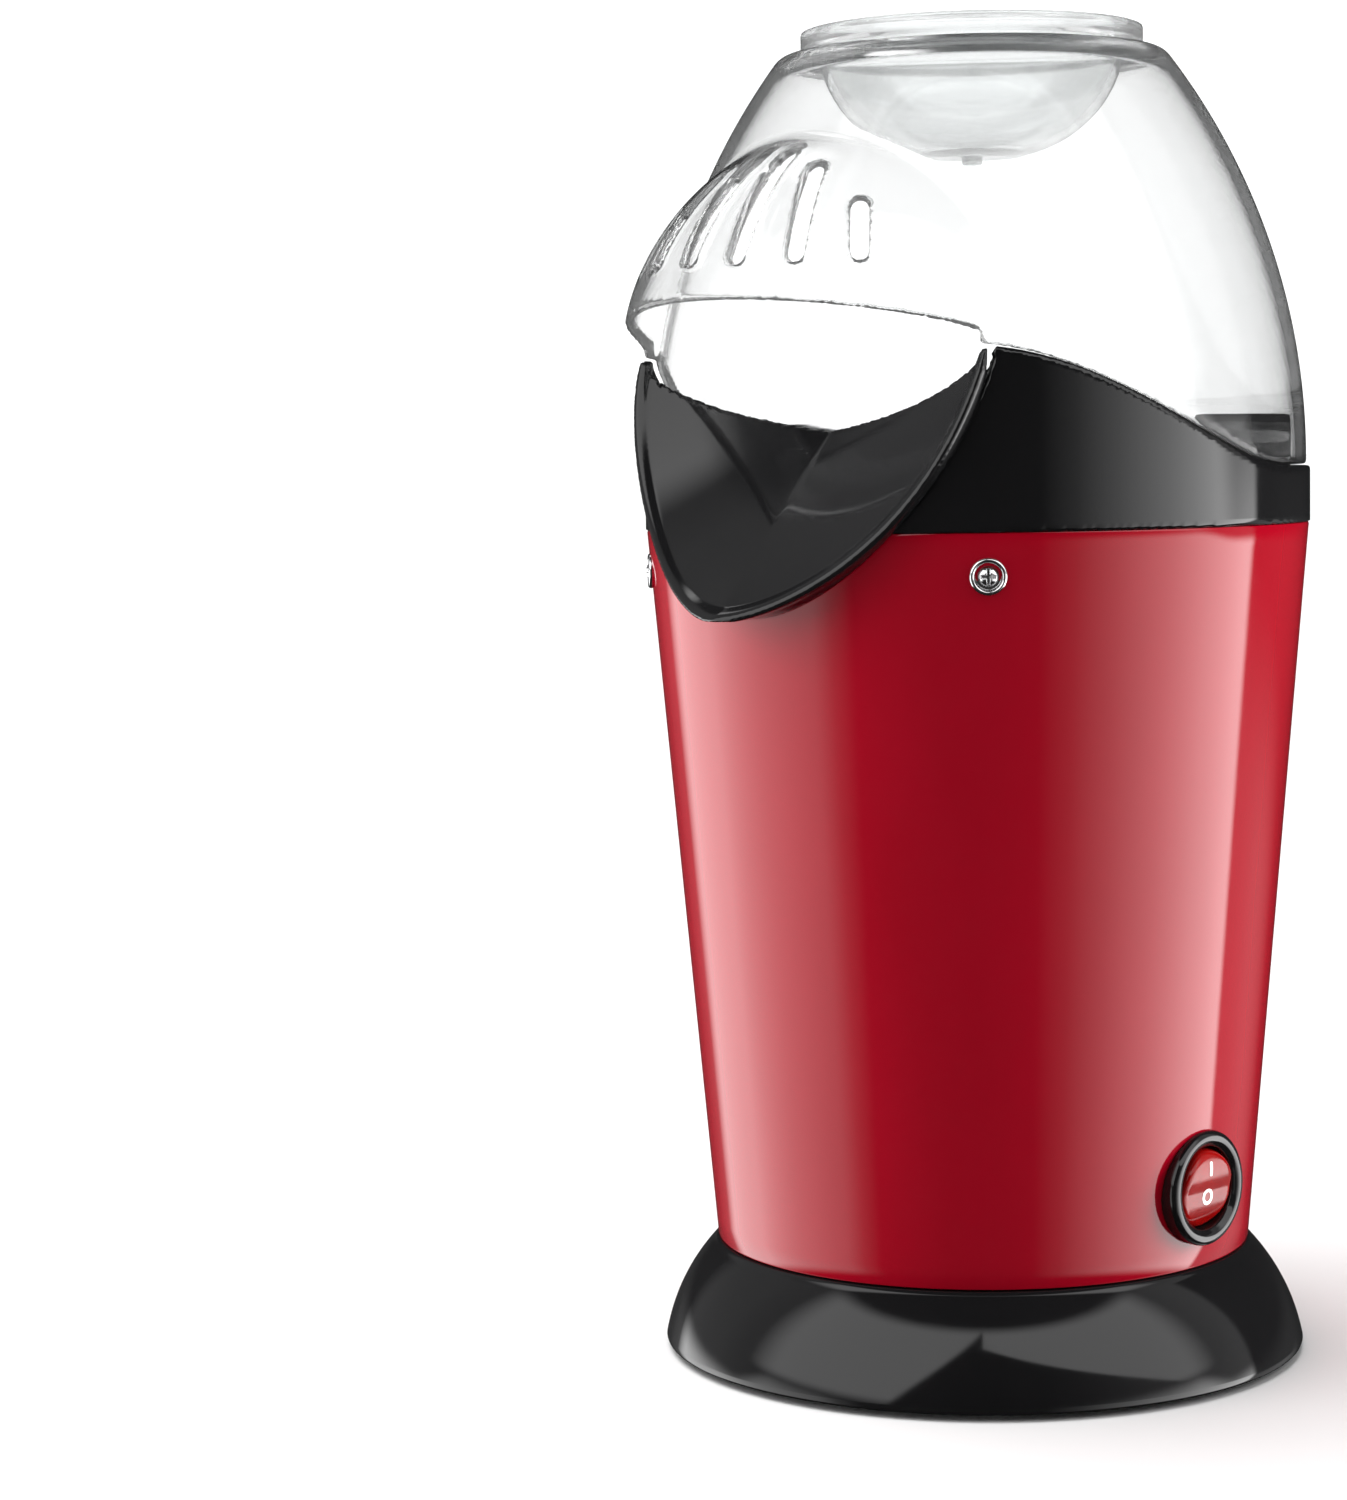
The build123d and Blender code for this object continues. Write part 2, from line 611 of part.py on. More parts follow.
def motor_bushes():
    bore = SHAFT_R + SHAFT_FIT
    top = tube(BUSH_R, bore, SHROUD_LOW - 5, SHROUD_LOW + 0.5)
    low = tube(BUSH_R, bore, MOTOR_LOW - 3, MOTOR_LOW + 1)
    return [top, low]


def motor_magnets():
    sleeve = tube(MOTOR_R - 1.1, 12.6, 38, 66)
    magnets = []
    for side in (-1, 1):
        half = Pos(side * 12, 0, 52) * Box(20, 24, 40)
        magnets.append(sleeve & half)
    return magnets


def motor_armature():
    core = tube(11.8, SHAFT_R, 42, 62)
    for i in range(5):
        core -= Rot(0, 0, 72 * i) * Pos(10.6, 0, 52) * Box(5, 2.0, 24)
        core -= Rot(0, 0, 72 * i) * Pos(7.6, 0, 52) * Cylinder(2.0, 24)
    return core


def commutator():
    return tube(4.0, SHAFT_R, 30, 37)


def motor_brushes():
    return [Pos(side * 6.8, 0, 33) * Box(5.4, 3, 4) for side in (-1, 1)]


def motor_screws():
    one = Pos(0, 0, SHROUD_LOW + 2.02) * screw(2.6, 1.6, 1.25, 4)
    return [Pos(MOTOR_SCREW_AT * side, 0, 0) * one for side in (-1, 1)]


def rectifier_board():
    board = rod(16, 15.2, 16.8)
    board -= rod(3, 14, 18)
    for side in (-1, 1):
        board -= Pos(TERMINAL_AT * side, 0, 16) * Box(4.4, 1.2, 4)
    return board


def rectifier_diodes():
    diodes = []
    for x in (-7.5, -2.5, 2.5, 7.5):
        lead = Pos(x, 9.5, 13.2) * Rot(90, 0, 0) * Cylinder(0.4, 9)
        body = Pos(x, 9.5, 13.2) * Rot(90, 0, 0) * Cylinder(1.35, 5)
        legs = Pos(x, 5.4, 14.2) * Box(0.8, 0.8, 2.0) + Pos(x, 13.6, 14.2) * Box(0.8, 0.8, 2.0)
        diodes.append(body + lead + legs)
    return diodes


# ---------------------------------------------------------------- switch and cord entry

def switch_housing():
    wall_out = body_radius(SWITCH_Z)
    bezel = radial_rod(90, SWITCH_Z, BEZEL_R, wall_out - 3, wall_out + 2.6)
    bezel = fillet(bezel.edges().group_by(Axis.X)[-1], 1.0)
    bezel -= lathe((0, 20), (body_radius(20) + 0.05, 20), (body_radius(70) + 0.05, 70), (0, 70))
    barrel = radial_rod(90, SWITCH_Z, SWITCH_R, SWITCH_BACK, wall_out + 1)
    case = bezel + barrel
    case -= radial_rod(90, SWITCH_Z, ROCKER_HOLE_R, 50, 70)
    case -= Pos(PIVOT_X, 0, SWITCH_Z) * Rot(90, 0, 0) * Cylinder(1.0 + SHAFT_FIT, 19)
    return case


def switch_rocker():
    crown = 5.4
    roof = Polyline((-3.4, -9), (2.6, -9), (crown - 1.1, -4.5), (crown - 1.5, 0), (crown - 1.1, 4.5),
                    (2.6, 9), (-3.4, 9), close=True)
    prism = extrude(make_face(Plane.XZ * roof), 12, both=True)
    button = prism & (Rot(0, 90, 0) * Cylinder(ROCKER_R, 30))
    button += Rot(90, 0, 0) * Cylinder(1.0, 18.6)
    return Pos(PIVOT_X, 0, SWITCH_Z) * Rot(0, ROCKER_TILT, 0) * button


def switch_terminals():
    blade = Box(9, 4.8, 0.8, align=(Align.MAX, Align.CENTER, Align.CENTER))
    return [Pos(SWITCH_BACK - 0.2, 0, SWITCH_Z + z) * blade for z in (-6, 0, 6)]


def neon_lamp():
    return Pos(51.2, 0, SWITCH_Z) * (Rot(90, 0, 0) * Cylinder(1.1, 8) + Rot(90, 0, 0) * Cylinder(0.3, 11))


def cord_gland():
    wall_out = body_radius(GLAND_Z)
    inner_end = wall_out - 9.0
    gland = radial_rod(180, GLAND_Z, 5.4, inner_end, wall_out + 1)
    flange = radial_rod(180, GLAND_Z, 7.6, wall_out - 2, wall_out + 2.0)
    sleeve = Cone(6.2, 4.6, 10.0, align=(Align.CENTER, Align.CENTER, Align.MIN))
    gland += facing(180) * Pos(wall_out + 2.0, 0, GLAND_Z) * Rot(0, 90, 0) * sleeve
    gland += flange - lathe((0, 20), (body_radius(20) + 0.05, 20), (body_radius(70) + 0.05, 70), (0, 70))
    return gland - radial_rod(180, GLAND_Z, CORD_HOLE_R, inner_end - 1, wall_out + 14)


def cord_clamp():
    standing = (Align.CENTER, Align.CENTER, Align.MIN)
    bar = Pos(0, CLAMP_Y, GLAND_Z) * Box(22, 9, 5, align=standing)
    saddle = Pos(0, CLAMP_Y, GLAND_Z + 5) * Box(9, 9, 3, align=standing)
    clamp = bar + saddle - Pos(0, CLAMP_Y, GLAND_Z) * Rot(90, 0, 0) * Cylinder(CORD_HOLE_R, 12)
    for side in (-1, 1):
        clamp -= Pos(CLAMP_SCREW_AT * side, CLAMP_Y, 0) * rod(1.5, 30, 50)
    return clamp


def clamp_post():
    """Grooved block under the cord clamp, standing on the bottom plate."""
    low = PLATE_TOP + 0.1
    standing = (Align.CENTER, Align.CENTER, Align.MIN)
    post = Pos(0, CLAMP_Y, low) * Box(22, 8, GLAND_Z - 0.1 - low, align=standing)
    post -= Pos(0, CLAMP_Y, GLAND_Z) * Rot(90, 0, 0) * Cylinder(CORD_HOLE_R, 12)
    for side in (-1, 1):
        post -= Pos(CLAMP_SCREW_AT * side, CLAMP_Y, 0) * rod(1.3, GLAND_Z - 12, 50)
    return post


def cord_clamp_screws():
    one = Pos(0, CLAMP_Y, GLAND_Z + 5.02) * screw(2.3, 1.5, 1.2, 12)
    return [Pos(CLAMP_SCREW_AT * side, 0, 0) * one for side in (-1, 1)]


def lead(bend_r, *points):
    """Insulated lead along straight runs joined by arcs."""
    path = FilletPolyline(*points, radius=bend_r)
    start = Plane(origin=path @ 0, z_dir=path % 0)
    return sweep(start * Circle(LEAD_R), path=path)


def live_lead():
    """From the cord clamp to the switch."""
    return lead(5, (1.4, 35.4, GLAND_Z), (1.4, 28, GLAND_Z), (25, 22, 37), (25, 0, SWITCH_Z - 6),
                (32.7, 0, SWITCH_Z - 6))


def neutral_lead():
    """From the cord clamp to the underside of the rectifier board."""
    return lead(4, (-1.4, 35.4, GLAND_Z), (-1.4, 29, GLAND_Z), (-24, 24, 30), (-24, 13, 10.5),
                (-11, 7, 10.5), (-11, 7, 15.2))


def heater_lead():
    """From the switch, up inside the body shell, to the thermostat."""
    return lead(5, (32.7, 0, SWITCH_Z + 6), (25, 0, SWITCH_Z + 6), polar(120, 32, 54), polar(160, 44, 60),
                polar(190, 49, 65), polar(197.1, 57.0, 76), polar(197.1, 61.2, 92),
                polar(197.1, 61.2, 103), polar(197.1, 61.4, 114), polar(197.1, 61.4, 127.9))


PIECES = {
    "base_shell": base_shell,
    "bottom_plate": bottom_plate,
    "rubber_feet": rubber_feet,
    "base_screws": base_screws,
    "body_shell": body_shell,
    "upper_housing": upper_housing,
    "spout_chute": spout_chute,
    "shell_screws": shell_screws,
    "screw_cup_washers": screw_cup_washers,
    "top_cover": top_cover,
    "measuring_cup": measuring_cup,
    "popping_chamber": popping_chamber,
    "chamber_screws": chamber_screws,
    "heater_duct": heater_duct,
    "duct_screws": duct_screws,
    "mica_liner": mica_liner,
    "mica_cross": mica_cross,
    "heating_coil": heating_coil,
    "thermostat": thermostat,
    "thermal_fuse": thermal_fuse,
    "fan_shroud": fan_shroud,
    "fan_impeller": fan_impeller,
    "motor_shaft": motor_shaft,
    "motor_can": motor_can,
    "motor_end_cap": motor_end_cap,
    "motor_bushes": motor_bushes,
    "motor_magnets": motor_magnets,
    "motor_armature": motor_armature,
    "commutator": commutator,
    "motor_brushes": motor_brushes,
    "motor_screws": motor_screws,
    "rectifier_board": rectifier_board,
    "rectifier_diodes": rectifier_diodes,
    "switch_housing": switch_housing,
    "switch_rocker": switch_rocker,
    "switch_terminals": switch_terminals,
    "neon_lamp": neon_lamp,
    "cord_gland": cord_gland,
    "cord_clamp": cord_clamp,
    "clamp_post": clamp_post,
    "cord_clamp_screws": cord_clamp_screws,
    "live_lead": live_lead,
    "neutral_lead": neutral_lead,
    "heater_lead": heater_lead,
}

os.makedirs("parts", exist_ok=True)
for node, make in PIECES.items():
    made = make()
    shape = Compound(children=made) if isinstance(made, list) else made
    export_step(shape, f"parts/{node}.step")
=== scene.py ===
import json
from math import ceil, cos, pi, radians, sin, tau

import bmesh
import bpy
import numpy as np
from mathutils import Matrix, Vector

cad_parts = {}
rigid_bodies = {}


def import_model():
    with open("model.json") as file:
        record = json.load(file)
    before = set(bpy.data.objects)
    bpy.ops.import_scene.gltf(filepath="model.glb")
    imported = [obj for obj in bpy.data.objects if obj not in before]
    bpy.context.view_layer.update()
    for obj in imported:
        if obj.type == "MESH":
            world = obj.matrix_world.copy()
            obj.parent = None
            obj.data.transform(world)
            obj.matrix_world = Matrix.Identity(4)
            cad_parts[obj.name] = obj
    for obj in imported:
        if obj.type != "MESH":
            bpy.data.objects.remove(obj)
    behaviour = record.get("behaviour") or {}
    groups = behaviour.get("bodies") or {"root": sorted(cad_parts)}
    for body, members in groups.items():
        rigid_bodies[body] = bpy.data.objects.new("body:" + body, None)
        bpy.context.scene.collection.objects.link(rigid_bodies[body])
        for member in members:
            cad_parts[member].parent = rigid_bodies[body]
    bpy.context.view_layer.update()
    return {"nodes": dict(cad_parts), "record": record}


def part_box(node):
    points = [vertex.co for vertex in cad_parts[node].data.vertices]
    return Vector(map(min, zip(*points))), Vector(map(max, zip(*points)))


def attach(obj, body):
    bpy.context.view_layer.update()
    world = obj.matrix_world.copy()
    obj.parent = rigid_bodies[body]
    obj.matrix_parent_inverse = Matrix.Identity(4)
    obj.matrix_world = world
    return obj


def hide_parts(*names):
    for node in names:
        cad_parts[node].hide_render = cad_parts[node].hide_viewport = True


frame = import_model()
nodes = frame["nodes"]

MM = 0.001


def extent(node):
    """Lowest and highest corner of a CAD node, in millimetres."""
    low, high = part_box(node)
    return np.array(low) / MM, np.array(high) / MM


# Corners of the CAD nodes that the visible pieces stand for or meet
base_low, base_high = extent("base_shell")
body_low, body_high = extent("body_shell")
ring_high = extent("upper_housing")[1]
chute_high = extent("spout_chute")[1]
cover_low, cover_high = extent("top_cover")
cup_low, cup_high = extent("measuring_cup")
chamber_high = extent("popping_chamber")[1]
switch_low, switch_high = extent("switch_housing")
screw_low, screw_high = extent("shell_screws")
gland_low, gland_high = extent("cord_gland")

# Driving sizes, in millimetres and degrees
BODY_TOP = body_high[2]
BODY_R_TOP = body_high[0]
BODY_BOTTOM = body_low[2]
BODY_R_LOW = BODY_R_TOP - 13.5
BODY_WALL = 2.4
SKIRT_TAPER = 0.0854     # how fast the chute's skirt narrows downwards with the body
RING_R = ring_high[0]
RING_WALL = 2.4
RING_PEAK = chute_high[2]
RING_LOW = cover_low[2] - 0.3
WAVE_START, WAVE_LENGTH = 38.0, 68.0     # angles round from the spout
SHELF_TOP = 192.0
COLLAR_R, COLLAR_TOP = 68.5, 205.5
COLLAR_WALL = 2.2
DECK_R = 46.2
DECK_TOP = chamber_high[2] - 1.0
ABOVE_ALL = 300
COVER_TOP = cover_high[2]
COVER_R = RING_R - 1.0
COVER_WALL = 2.2
DOME_ARC_R = 146.0
DOME_ARC_Z = 196.0
CUP_HOLE_R, CUP_HOLE_DEPTH = 34.8, 15
HOOD_Y = -35.0
HOOD_R = 52.2
HOOD_Z = RING_PEAK + 1.0
HOOD_RISE = 48.0
HOOD_POWER_R, HOOD_POWER_Z = 1.95, 1.8
ARCH_HALF, ARCH_RISE = 48.7, 9.5         # opening under the hood
SLOTS = ((8, 260.7), (24, 257.0), (40, 249.3))     # angle from the front, height of the top
SLOT_LOW, SLOT_R = 238.9, 1.9
SLOT_FROM = 14                           # distance from the hood's axis where a slot begins
LIP_Y = -54.0
CHUTE_HALF = chute_high[0]
CHUTE_DROP = 54.2
CHUTE_POWER = 1.75
CHUTE_MID = RING_PEAK - 1.0
CHUTE_T = 2.3
SKIRT_T = 2.2
BEAD_R, BEAD_IN, BEAD_BACK = 1.35, 1.15, 0.85      # radius, and its centre from the rim
GUTTER_OUT = 46.0        # gutter's low line in front of the axis, at the deck
GUTTER_FALL = 0.947      # how far that line comes forward for each mm down
GUTTER_LEAN = 0.298      # how far its sides come forward for each mm sideways, at the deck
GUTTER_TWIST = 0.0111    # growth of that lean for each mm up
SILL_OUT, SILL_SWEEP = 46.15, 0.1725
SWITCH_Z = (switch_low[2] + switch_high[2]) / 2
SWITCH_R = 10.0
ROCKER_R = 8.5
ROCKER_HOLE_R = 8.9
ROCKER_TILT = 10.0
PIVOT_X = 58.6
SHELL_SCREW_Z = (screw_low[2] + screw_high[2]) / 2
SHELL_SCREW_AZ = (42.0, -42.0, 180.0)
SCREW_HOLE_R = 2.2
GLAND_Z = (gland_low[2] + gland_high[2]) / 2
GLAND_HOLE_R = 5.6
COLUMNS = 420            # corners round the red shell
LATHE_STEPS = 256        # corners round a turned piece
MARK_CORNERS = 40        # corners round a mark on the rocker

# Cell sizes of the surfaces made from distance fields
STEPS = {"cover": 1.0, "chute": 0.55, "ring": 0.85, "case": 0.4, "rocker": 0.3, "screw": 0.13}


# ---------------------------------------------------------------- shapes from distance fields

def smooth_max(a, b, k):
    """Larger of two distances, with the edge between them rounded over a width k."""
    h = np.maximum(k - np.abs(a - b), 0.0) / k
    return np.maximum(a, b) + h * h * k * 0.25


def smooth_min(a, b, k):
    """Smaller of two distances, with the joint between them filled over a width k."""
    return -smooth_max(-a, -b, k)


def polar_box(r, z, r_in, r_out, low, high):
    """Distance to a ring of rectangular section."""
    return np.maximum(np.maximum(r_in - r, r - r_out), np.maximum(low - z, z - high))


def wave_height(x, y):
    """Height of the ring's wavy edge, which peaks on both sides of the spout."""
    az = np.degrees(np.abs(np.arctan2(x, -y)))
    fall = np.clip((az - WAVE_START) / WAVE_LENGTH, 0.0, 1.0)
    return RING_LOW + (RING_PEAK - RING_LOW) * (1 + np.cos(np.pi * fall)) / 2


def gutter(x, y, z):
    """Distance in front of the chute's gutter, a twisted V whose bottom line is slightly rounded."""
    side = np.sqrt(x * x + 0.25)
    above = z - DECK_TOP
    lean = GUTTER_LEAN + GUTTER_TWIST * above
    ahead = -y - (GUTTER_OUT - GUTTER_FALL * above + side * lean)
    return ahead / np.sqrt(1 + (GUTTER_FALL - GUTTER_TWIST * side) ** 2 + lean ** 2)


def chute_outline(x, z):
    """Distance outside the chute's front outline, a superellipse below its middle."""
    a = np.abs(x) / CHUTE_HALF
    b = np.maximum(CHUTE_MID - z, 0.0) / CHUTE_DROP
    level = np.maximum(a ** CHUTE_POWER + b ** CHUTE_POWER, 1e-6) ** (1 / CHUTE_POWER)
    grad_x = (a / level) ** (CHUTE_POWER - 1) / CHUTE_HALF
    grad_z = (b / level) ** (CHUTE_POWER - 1) / CHUTE_DROP
    return (level - 1) / np.maximum(np.hypot(grad_x, grad_z), 1e-3)


def chute_room(x, y, z):
    """Distance to the space that the shells leave for the chute."""
    gap = 0.3
    return np.maximum(chute_outline(x, z) - gap, -(gutter(x, y, z) + CHUTE_T + gap))


def hood_distance(x, y, z, inset):
    """Distance outside the hood's bulge, or outside the bulge that lies an inset within it."""
    radius, rise = HOOD_R - inset, HOOD_RISE - inset
    hood_r = np.hypot(x, y - HOOD_Y) / radius
    hood_z = np.maximum(z - HOOD_Z, 0.0) / rise
    level = np.maximum(hood_r ** HOOD_POWER_R + hood_z ** HOOD_POWER_Z, 1e-4)
    slope = np.hypot(HOOD_POWER_R * hood_r ** (HOOD_POWER_R - 1) / radius,
                     HOOD_POWER_Z * hood_z ** (HOOD_POWER_Z - 1) / rise)
    return (level - 1) / np.maximum(slope, 0.01)


def cover_shape(x, y, z):
    """Dome with its hood, cup hole, spout arch and slots."""
    edge = 0.9
    r = np.hypot(x, y)
    centre_r = COVER_R - DOME_ARC_R
    arc = np.where(z > DOME_ARC_Z, np.hypot(r - centre_r, z - DOME_ARC_Z) - DOME_ARC_R, r - COVER_R)
    outer = smooth_min(smooth_max(arc, z - COVER_TOP, 2.0), hood_distance(x, y, z, 0.0), 1.0)
    inner = smooth_max(arc + COVER_WALL, z - COVER_TOP + COVER_WALL, 5.0)
    inner = smooth_min(inner, hood_distance(x, y, z, COVER_WALL), 1.4)
    shell = smooth_max(outer, -inner, edge)
    shell = smooth_max(shell, wave_height(x, y) + 0.3 - z, edge)
    arch = RING_PEAK + 0.5 + ARCH_RISE * np.sqrt(np.maximum(1 - (x / ARCH_HALF) ** 2, 0.0))
    shell = smooth_max(shell, -np.maximum(y - LIP_Y, z - arch), edge)
    shell = smooth_max(shell, -np.maximum(r - CUP_HOLE_R, COVER_TOP - CUP_HOLE_DEPTH - z), 1.0)
    for angle, top in SLOTS:
        for side in (-1, 1):
            turn = radians(side * angle)
            along = x * sin(turn) - (y - HOOD_Y) * cos(turn)
            across = x * cos(turn) + (y - HOOD_Y) * sin(turn)
            ends = np.clip(z, SLOT_LOW, top - SLOT_R)
            slot = np.maximum(np.hypot(across, z - ends) - SLOT_R, SLOT_FROM - along)
            shell = smooth_max(shell, -slot, 0.8)
    return shell


def chute_shape(x, y, z):
    """Gutter plate, the skirt behind its outline that meets the shells, and the rim's bead."""
    front = gutter(x, y, z)
    outline = chute_outline(x, z)
    slant = 1.015     # length of the back plane's normal
    back = (SILL_OUT + SILL_SWEEP * np.abs(x) + y) / slant
    plate = smooth_max(smooth_max(front, outline, 1.2), -(front + CHUTE_T), 0.6)
    plate = smooth_max(plate, back, 0.6)
    shells = np.where(z > BODY_TOP, RING_R, BODY_R_TOP - (BODY_TOP - z) * SKIRT_TAPER) + 0.1
    skirt = np.maximum(np.maximum(outline, -(outline + SKIRT_T)), front + 0.3)
    skirt = smooth_max(skirt, shells - np.hypot(x, y), 0.3)
    bead = np.maximum(np.hypot(outline + BEAD_IN, front + BEAD_BACK) - BEAD_R, back)
    shape = smooth_min(smooth_min(plate, skirt, 0.8), bead, 0.8)
    return smooth_max(shape, z - RING_PEAK + 0.2, 0.8)


def ring_shape(x, y, z):
    """Wavy outer wall, the shelf that the cover stands on, the collar inside it and the deck."""
    r = np.hypot(x, y)
    wall = polar_box(r, z, RING_R - RING_WALL, RING_R, BODY_TOP, ABOVE_ALL)
    wall = smooth_max(smooth_max(wall, z - wave_height(x, y), 1.0), r - RING_R, 0.6)
    collar = polar_box(r, z, COLLAR_R - COLLAR_WALL, COLLAR_R, SHELF_TOP - 2, ABOVE_ALL)
    collar = smooth_max(collar, z - COLLAR_TOP, 0.8)
    shelf = polar_box(r, z, COLLAR_R - 1.1, RING_R - 1.5, SHELF_TOP - RING_WALL, SHELF_TOP)
    deck = polar_box(r, z, DECK_R, COLLAR_R - 0.4, DECK_TOP - RING_WALL, DECK_TOP)
    shape = smooth_min(smooth_min(wall, shelf, 1.0), smooth_min(collar, deck, 1.2), 1.0)
    return smooth_max(shape, -chute_room(x, y, z), 0.3)


def body_radius(z):
    """Outer radius of the tapered body."""
    return BODY_R_TOP - (BODY_TOP - z) * (BODY_R_TOP - BODY_R_LOW) / (BODY_TOP - BODY_BOTTOM + 0.3)


def bezel_shape(x, y, z):
    """Switch case: barrel inside the wall and a stepped, rounded bezel on it."""
    rho = np.hypot(y, z - SWITCH_Z)
    front = switch_high[0]
    band_r, band_half, band_round = 10.75, 0.25, 1.3
    beside = np.maximum(np.abs(rho - band_r) - band_half, 0)
    proud = np.maximum(x - (front - 1.35), 0)
    lip = smooth_max(rho - 10.1, x - (front - 0.75), 0.5)
    bezel = smooth_min(np.hypot(beside, proud) - band_round, lip, 0.25)
    bezel = smooth_max(bezel, 0.05 - (np.hypot(x, y) - body_radius(z)), 0.1)
    barrel = np.maximum(rho - SWITCH_R, np.maximum(switch_low[0] - x, x - front + 1.2))
    case = np.minimum(bezel, barrel)
    return smooth_max(case, -np.maximum(rho - ROCKER_HOLE_R, 50 - x), 0.4)


def rocker_frame(x, z):
    """Heights out from the rocker's pivot and along its face."""
    turn = radians(ROCKER_TILT)
    dx, dz = x - PIVOT_X, z - SWITCH_Z
    return dx * cos(turn) - dz * sin(turn), dx * sin(turn) + dz * cos(turn)


def rocker_face(along):
    """Height of the rocker's face above its pivot: a shallow dish whose ends fall away."""
    dish = 3.75 + 0.13 * np.sqrt(along * along + 0.3)
    ends = 5.75 - 0.34 * np.abs(along)
    return smooth_min(dish, ends, 1.3)


def rocker_shape(x, y, z):
    """Round button with the dished face, and its two pivot pins."""
    out, along = rocker_frame(x, z)
    button = smooth_max(out - rocker_face(along), np.hypot(y, along) - ROCKER_R, 1.3)
    button = smooth_max(button, -3.3 - out, 0.4)
    pins = np.maximum(np.hypot(out, along) - 1.0, np.abs(y) - 9.2)
    return smooth_min(button, pins, 0.2)


def washer_shape(u, v, w):
    """Pressed cup washer: a proud rounded rim and a dish that falls to the screw."""
    rim_r, hole_r = 3.3, 1.5
    r = np.hypot(u, v)
    rim = np.hypot(r - rim_r, (w - 0.1) * 0.85) - 0.56
    dish = np.maximum(np.abs(w + 0.35) - 0.25, np.maximum(r - rim_r, hole_r - r))
    return smooth_min(rim, dish, 0.3)


def screw_shape(u, v, w):
    """Small pan head with a cross recess, and its shank."""
    head_r, head_rise, shank_r, shank_end = 2.15, 1.5, 1.35, -8.0
    arm_half, arm_reach = 0.34, 1.5
    r = np.hypot(u, v)
    head = np.hypot(r / head_r, (w + 0.3) / head_rise) * 1.6 - 1.6
    head = smooth_max(head, -w - 0.1, 0.2)
    shank = np.maximum(r - shank_r, np.maximum(w - 0.2, shank_end - w))
    deep = 0.35 + 0.25 * (1.4 - r)
    upright = np.maximum(np.abs(u) - arm_half, np.abs(v) - arm_reach)
    level = np.maximum(np.abs(v) - arm_half, np.abs(u) - arm_reach)
    cross = np.minimum(upright, level)
    return smooth_max(smooth_min(head, shank, 0.1), -np.maximum(cross, deep - w), 0.12)


def surface_net(shape, low, high, step):
    """Quads over the zero level of a distance field, each corner moved onto it."""
    # The field on a grid, one slab at a time
    counts = [int(ceil((b - a) / step)) + 1 for a, b in zip(low, high)]
    axes = [a + step * np.arange(n) for a, n in zip(low, counts)]
    field = np.empty(counts, np.float32)
    for i, x in enumerate(axes[0]):
        yy, zz = np.meshgrid(axes[1], axes[2], indexing="ij")
        field[i] = shape(np.full_like(yy, x), yy, zz)
    inside = field < 0
    count_inside = np.zeros([n - 1 for n in counts], np.int8)
    corners = [(i, j, k) for i in (0, 1) for j in (0, 1) for k in (0, 1)]

    def shifted(grid, corner):
        """The grid as seen from one corner of every cell."""
        return grid[tuple(slice(c, c + n - 1) for c, n in zip(corner, counts))]

    # Each cell that the surface passes through gets one point, the mean of its edges' crossings
    for corner in corners:
        count_inside += shifted(inside, corner)
    active = (count_inside > 0) & (count_inside < 8)
    cells = np.argwhere(active)
    index = np.full(active.shape, -1, np.int64)
    index[active] = np.arange(len(cells))
    total = np.zeros((len(cells), 3))
    hits = np.zeros(len(cells))
    for a in corners:
        for b in corners:
            is_edge = sum(b) - sum(a) == 1 and all(q >= p for p, q in zip(a, b))
            if not is_edge:
                continue
            fa = field[tuple((cells + a).T)]
            fb = field[tuple((cells + b).T)]
            crosses = (fa < 0) != (fb < 0)
            part = np.where(crosses, fa / np.where(crosses, fa - fb, 1), 0)
            point = np.array(a) + part[:, None] * (np.array(b) - np.array(a))
            total += point * crosses[:, None]
            hits += crosses
    points = np.array(low) + step * (cells + total / hits[:, None])
    for _ in range(4):
        points = settle(shape, points, step)
    # Each grid edge that the surface crosses gets one quad, through the four cells round it
    quads = []
    for axis in range(3):
        here = [slice(None)] * 3
        there = [slice(None)] * 3
        here[axis] = slice(0, -1)
        there[axis] = slice(1, None)
        first, second = inside[tuple(here)], inside[tuple(there)]
        edges = np.argwhere(first != second)
        keep = np.ones(len(edges), bool)
        others = [a for a in range(3) if a != axis]
        for other in others:
            keep &= (edges[:, other] > 0) & (edges[:, other] < counts[other] - 1)
        edges = edges[keep]
        ring = []
        for da, db in ((0, 0), (1, 0), (1, 1), (0, 1)):
            cell = edges.copy()
            cell[:, others[0]] -= da
            cell[:, others[1]] -= db
            ring.append(index[tuple(cell.T)])
        ring = np.stack(ring, 1)
        outward = first[tuple(edges.T)]
        if axis == 1:
            outward = ~outward
        ring[~outward] = ring[~outward][:, ::-1]
        quads.append(ring)
    return points, np.concatenate(quads)


def settle(shape, points, step):
    """One Newton step of the points towards the zero level, of at most half a cell."""
    tiny = 0.02
    x, y, z = points.T
    value = shape(x, y, z)
    slope = np.stack([
        shape(x + tiny, y, z) - shape(x - tiny, y, z),
        shape(x, y + tiny, z) - shape(x, y - tiny, z),
        shape(x, y, z + tiny) - shape(x, y, z - tiny)], 1) / (2 * tiny)
    size = np.maximum((slope ** 2).sum(1), 0.04)
    move = slope * (value / size)[:, None]
    length = np.maximum(np.linalg.norm(move, axis=1), 1e-9)
    return points - move * np.minimum(1, 0.5 * step / length)[:, None]


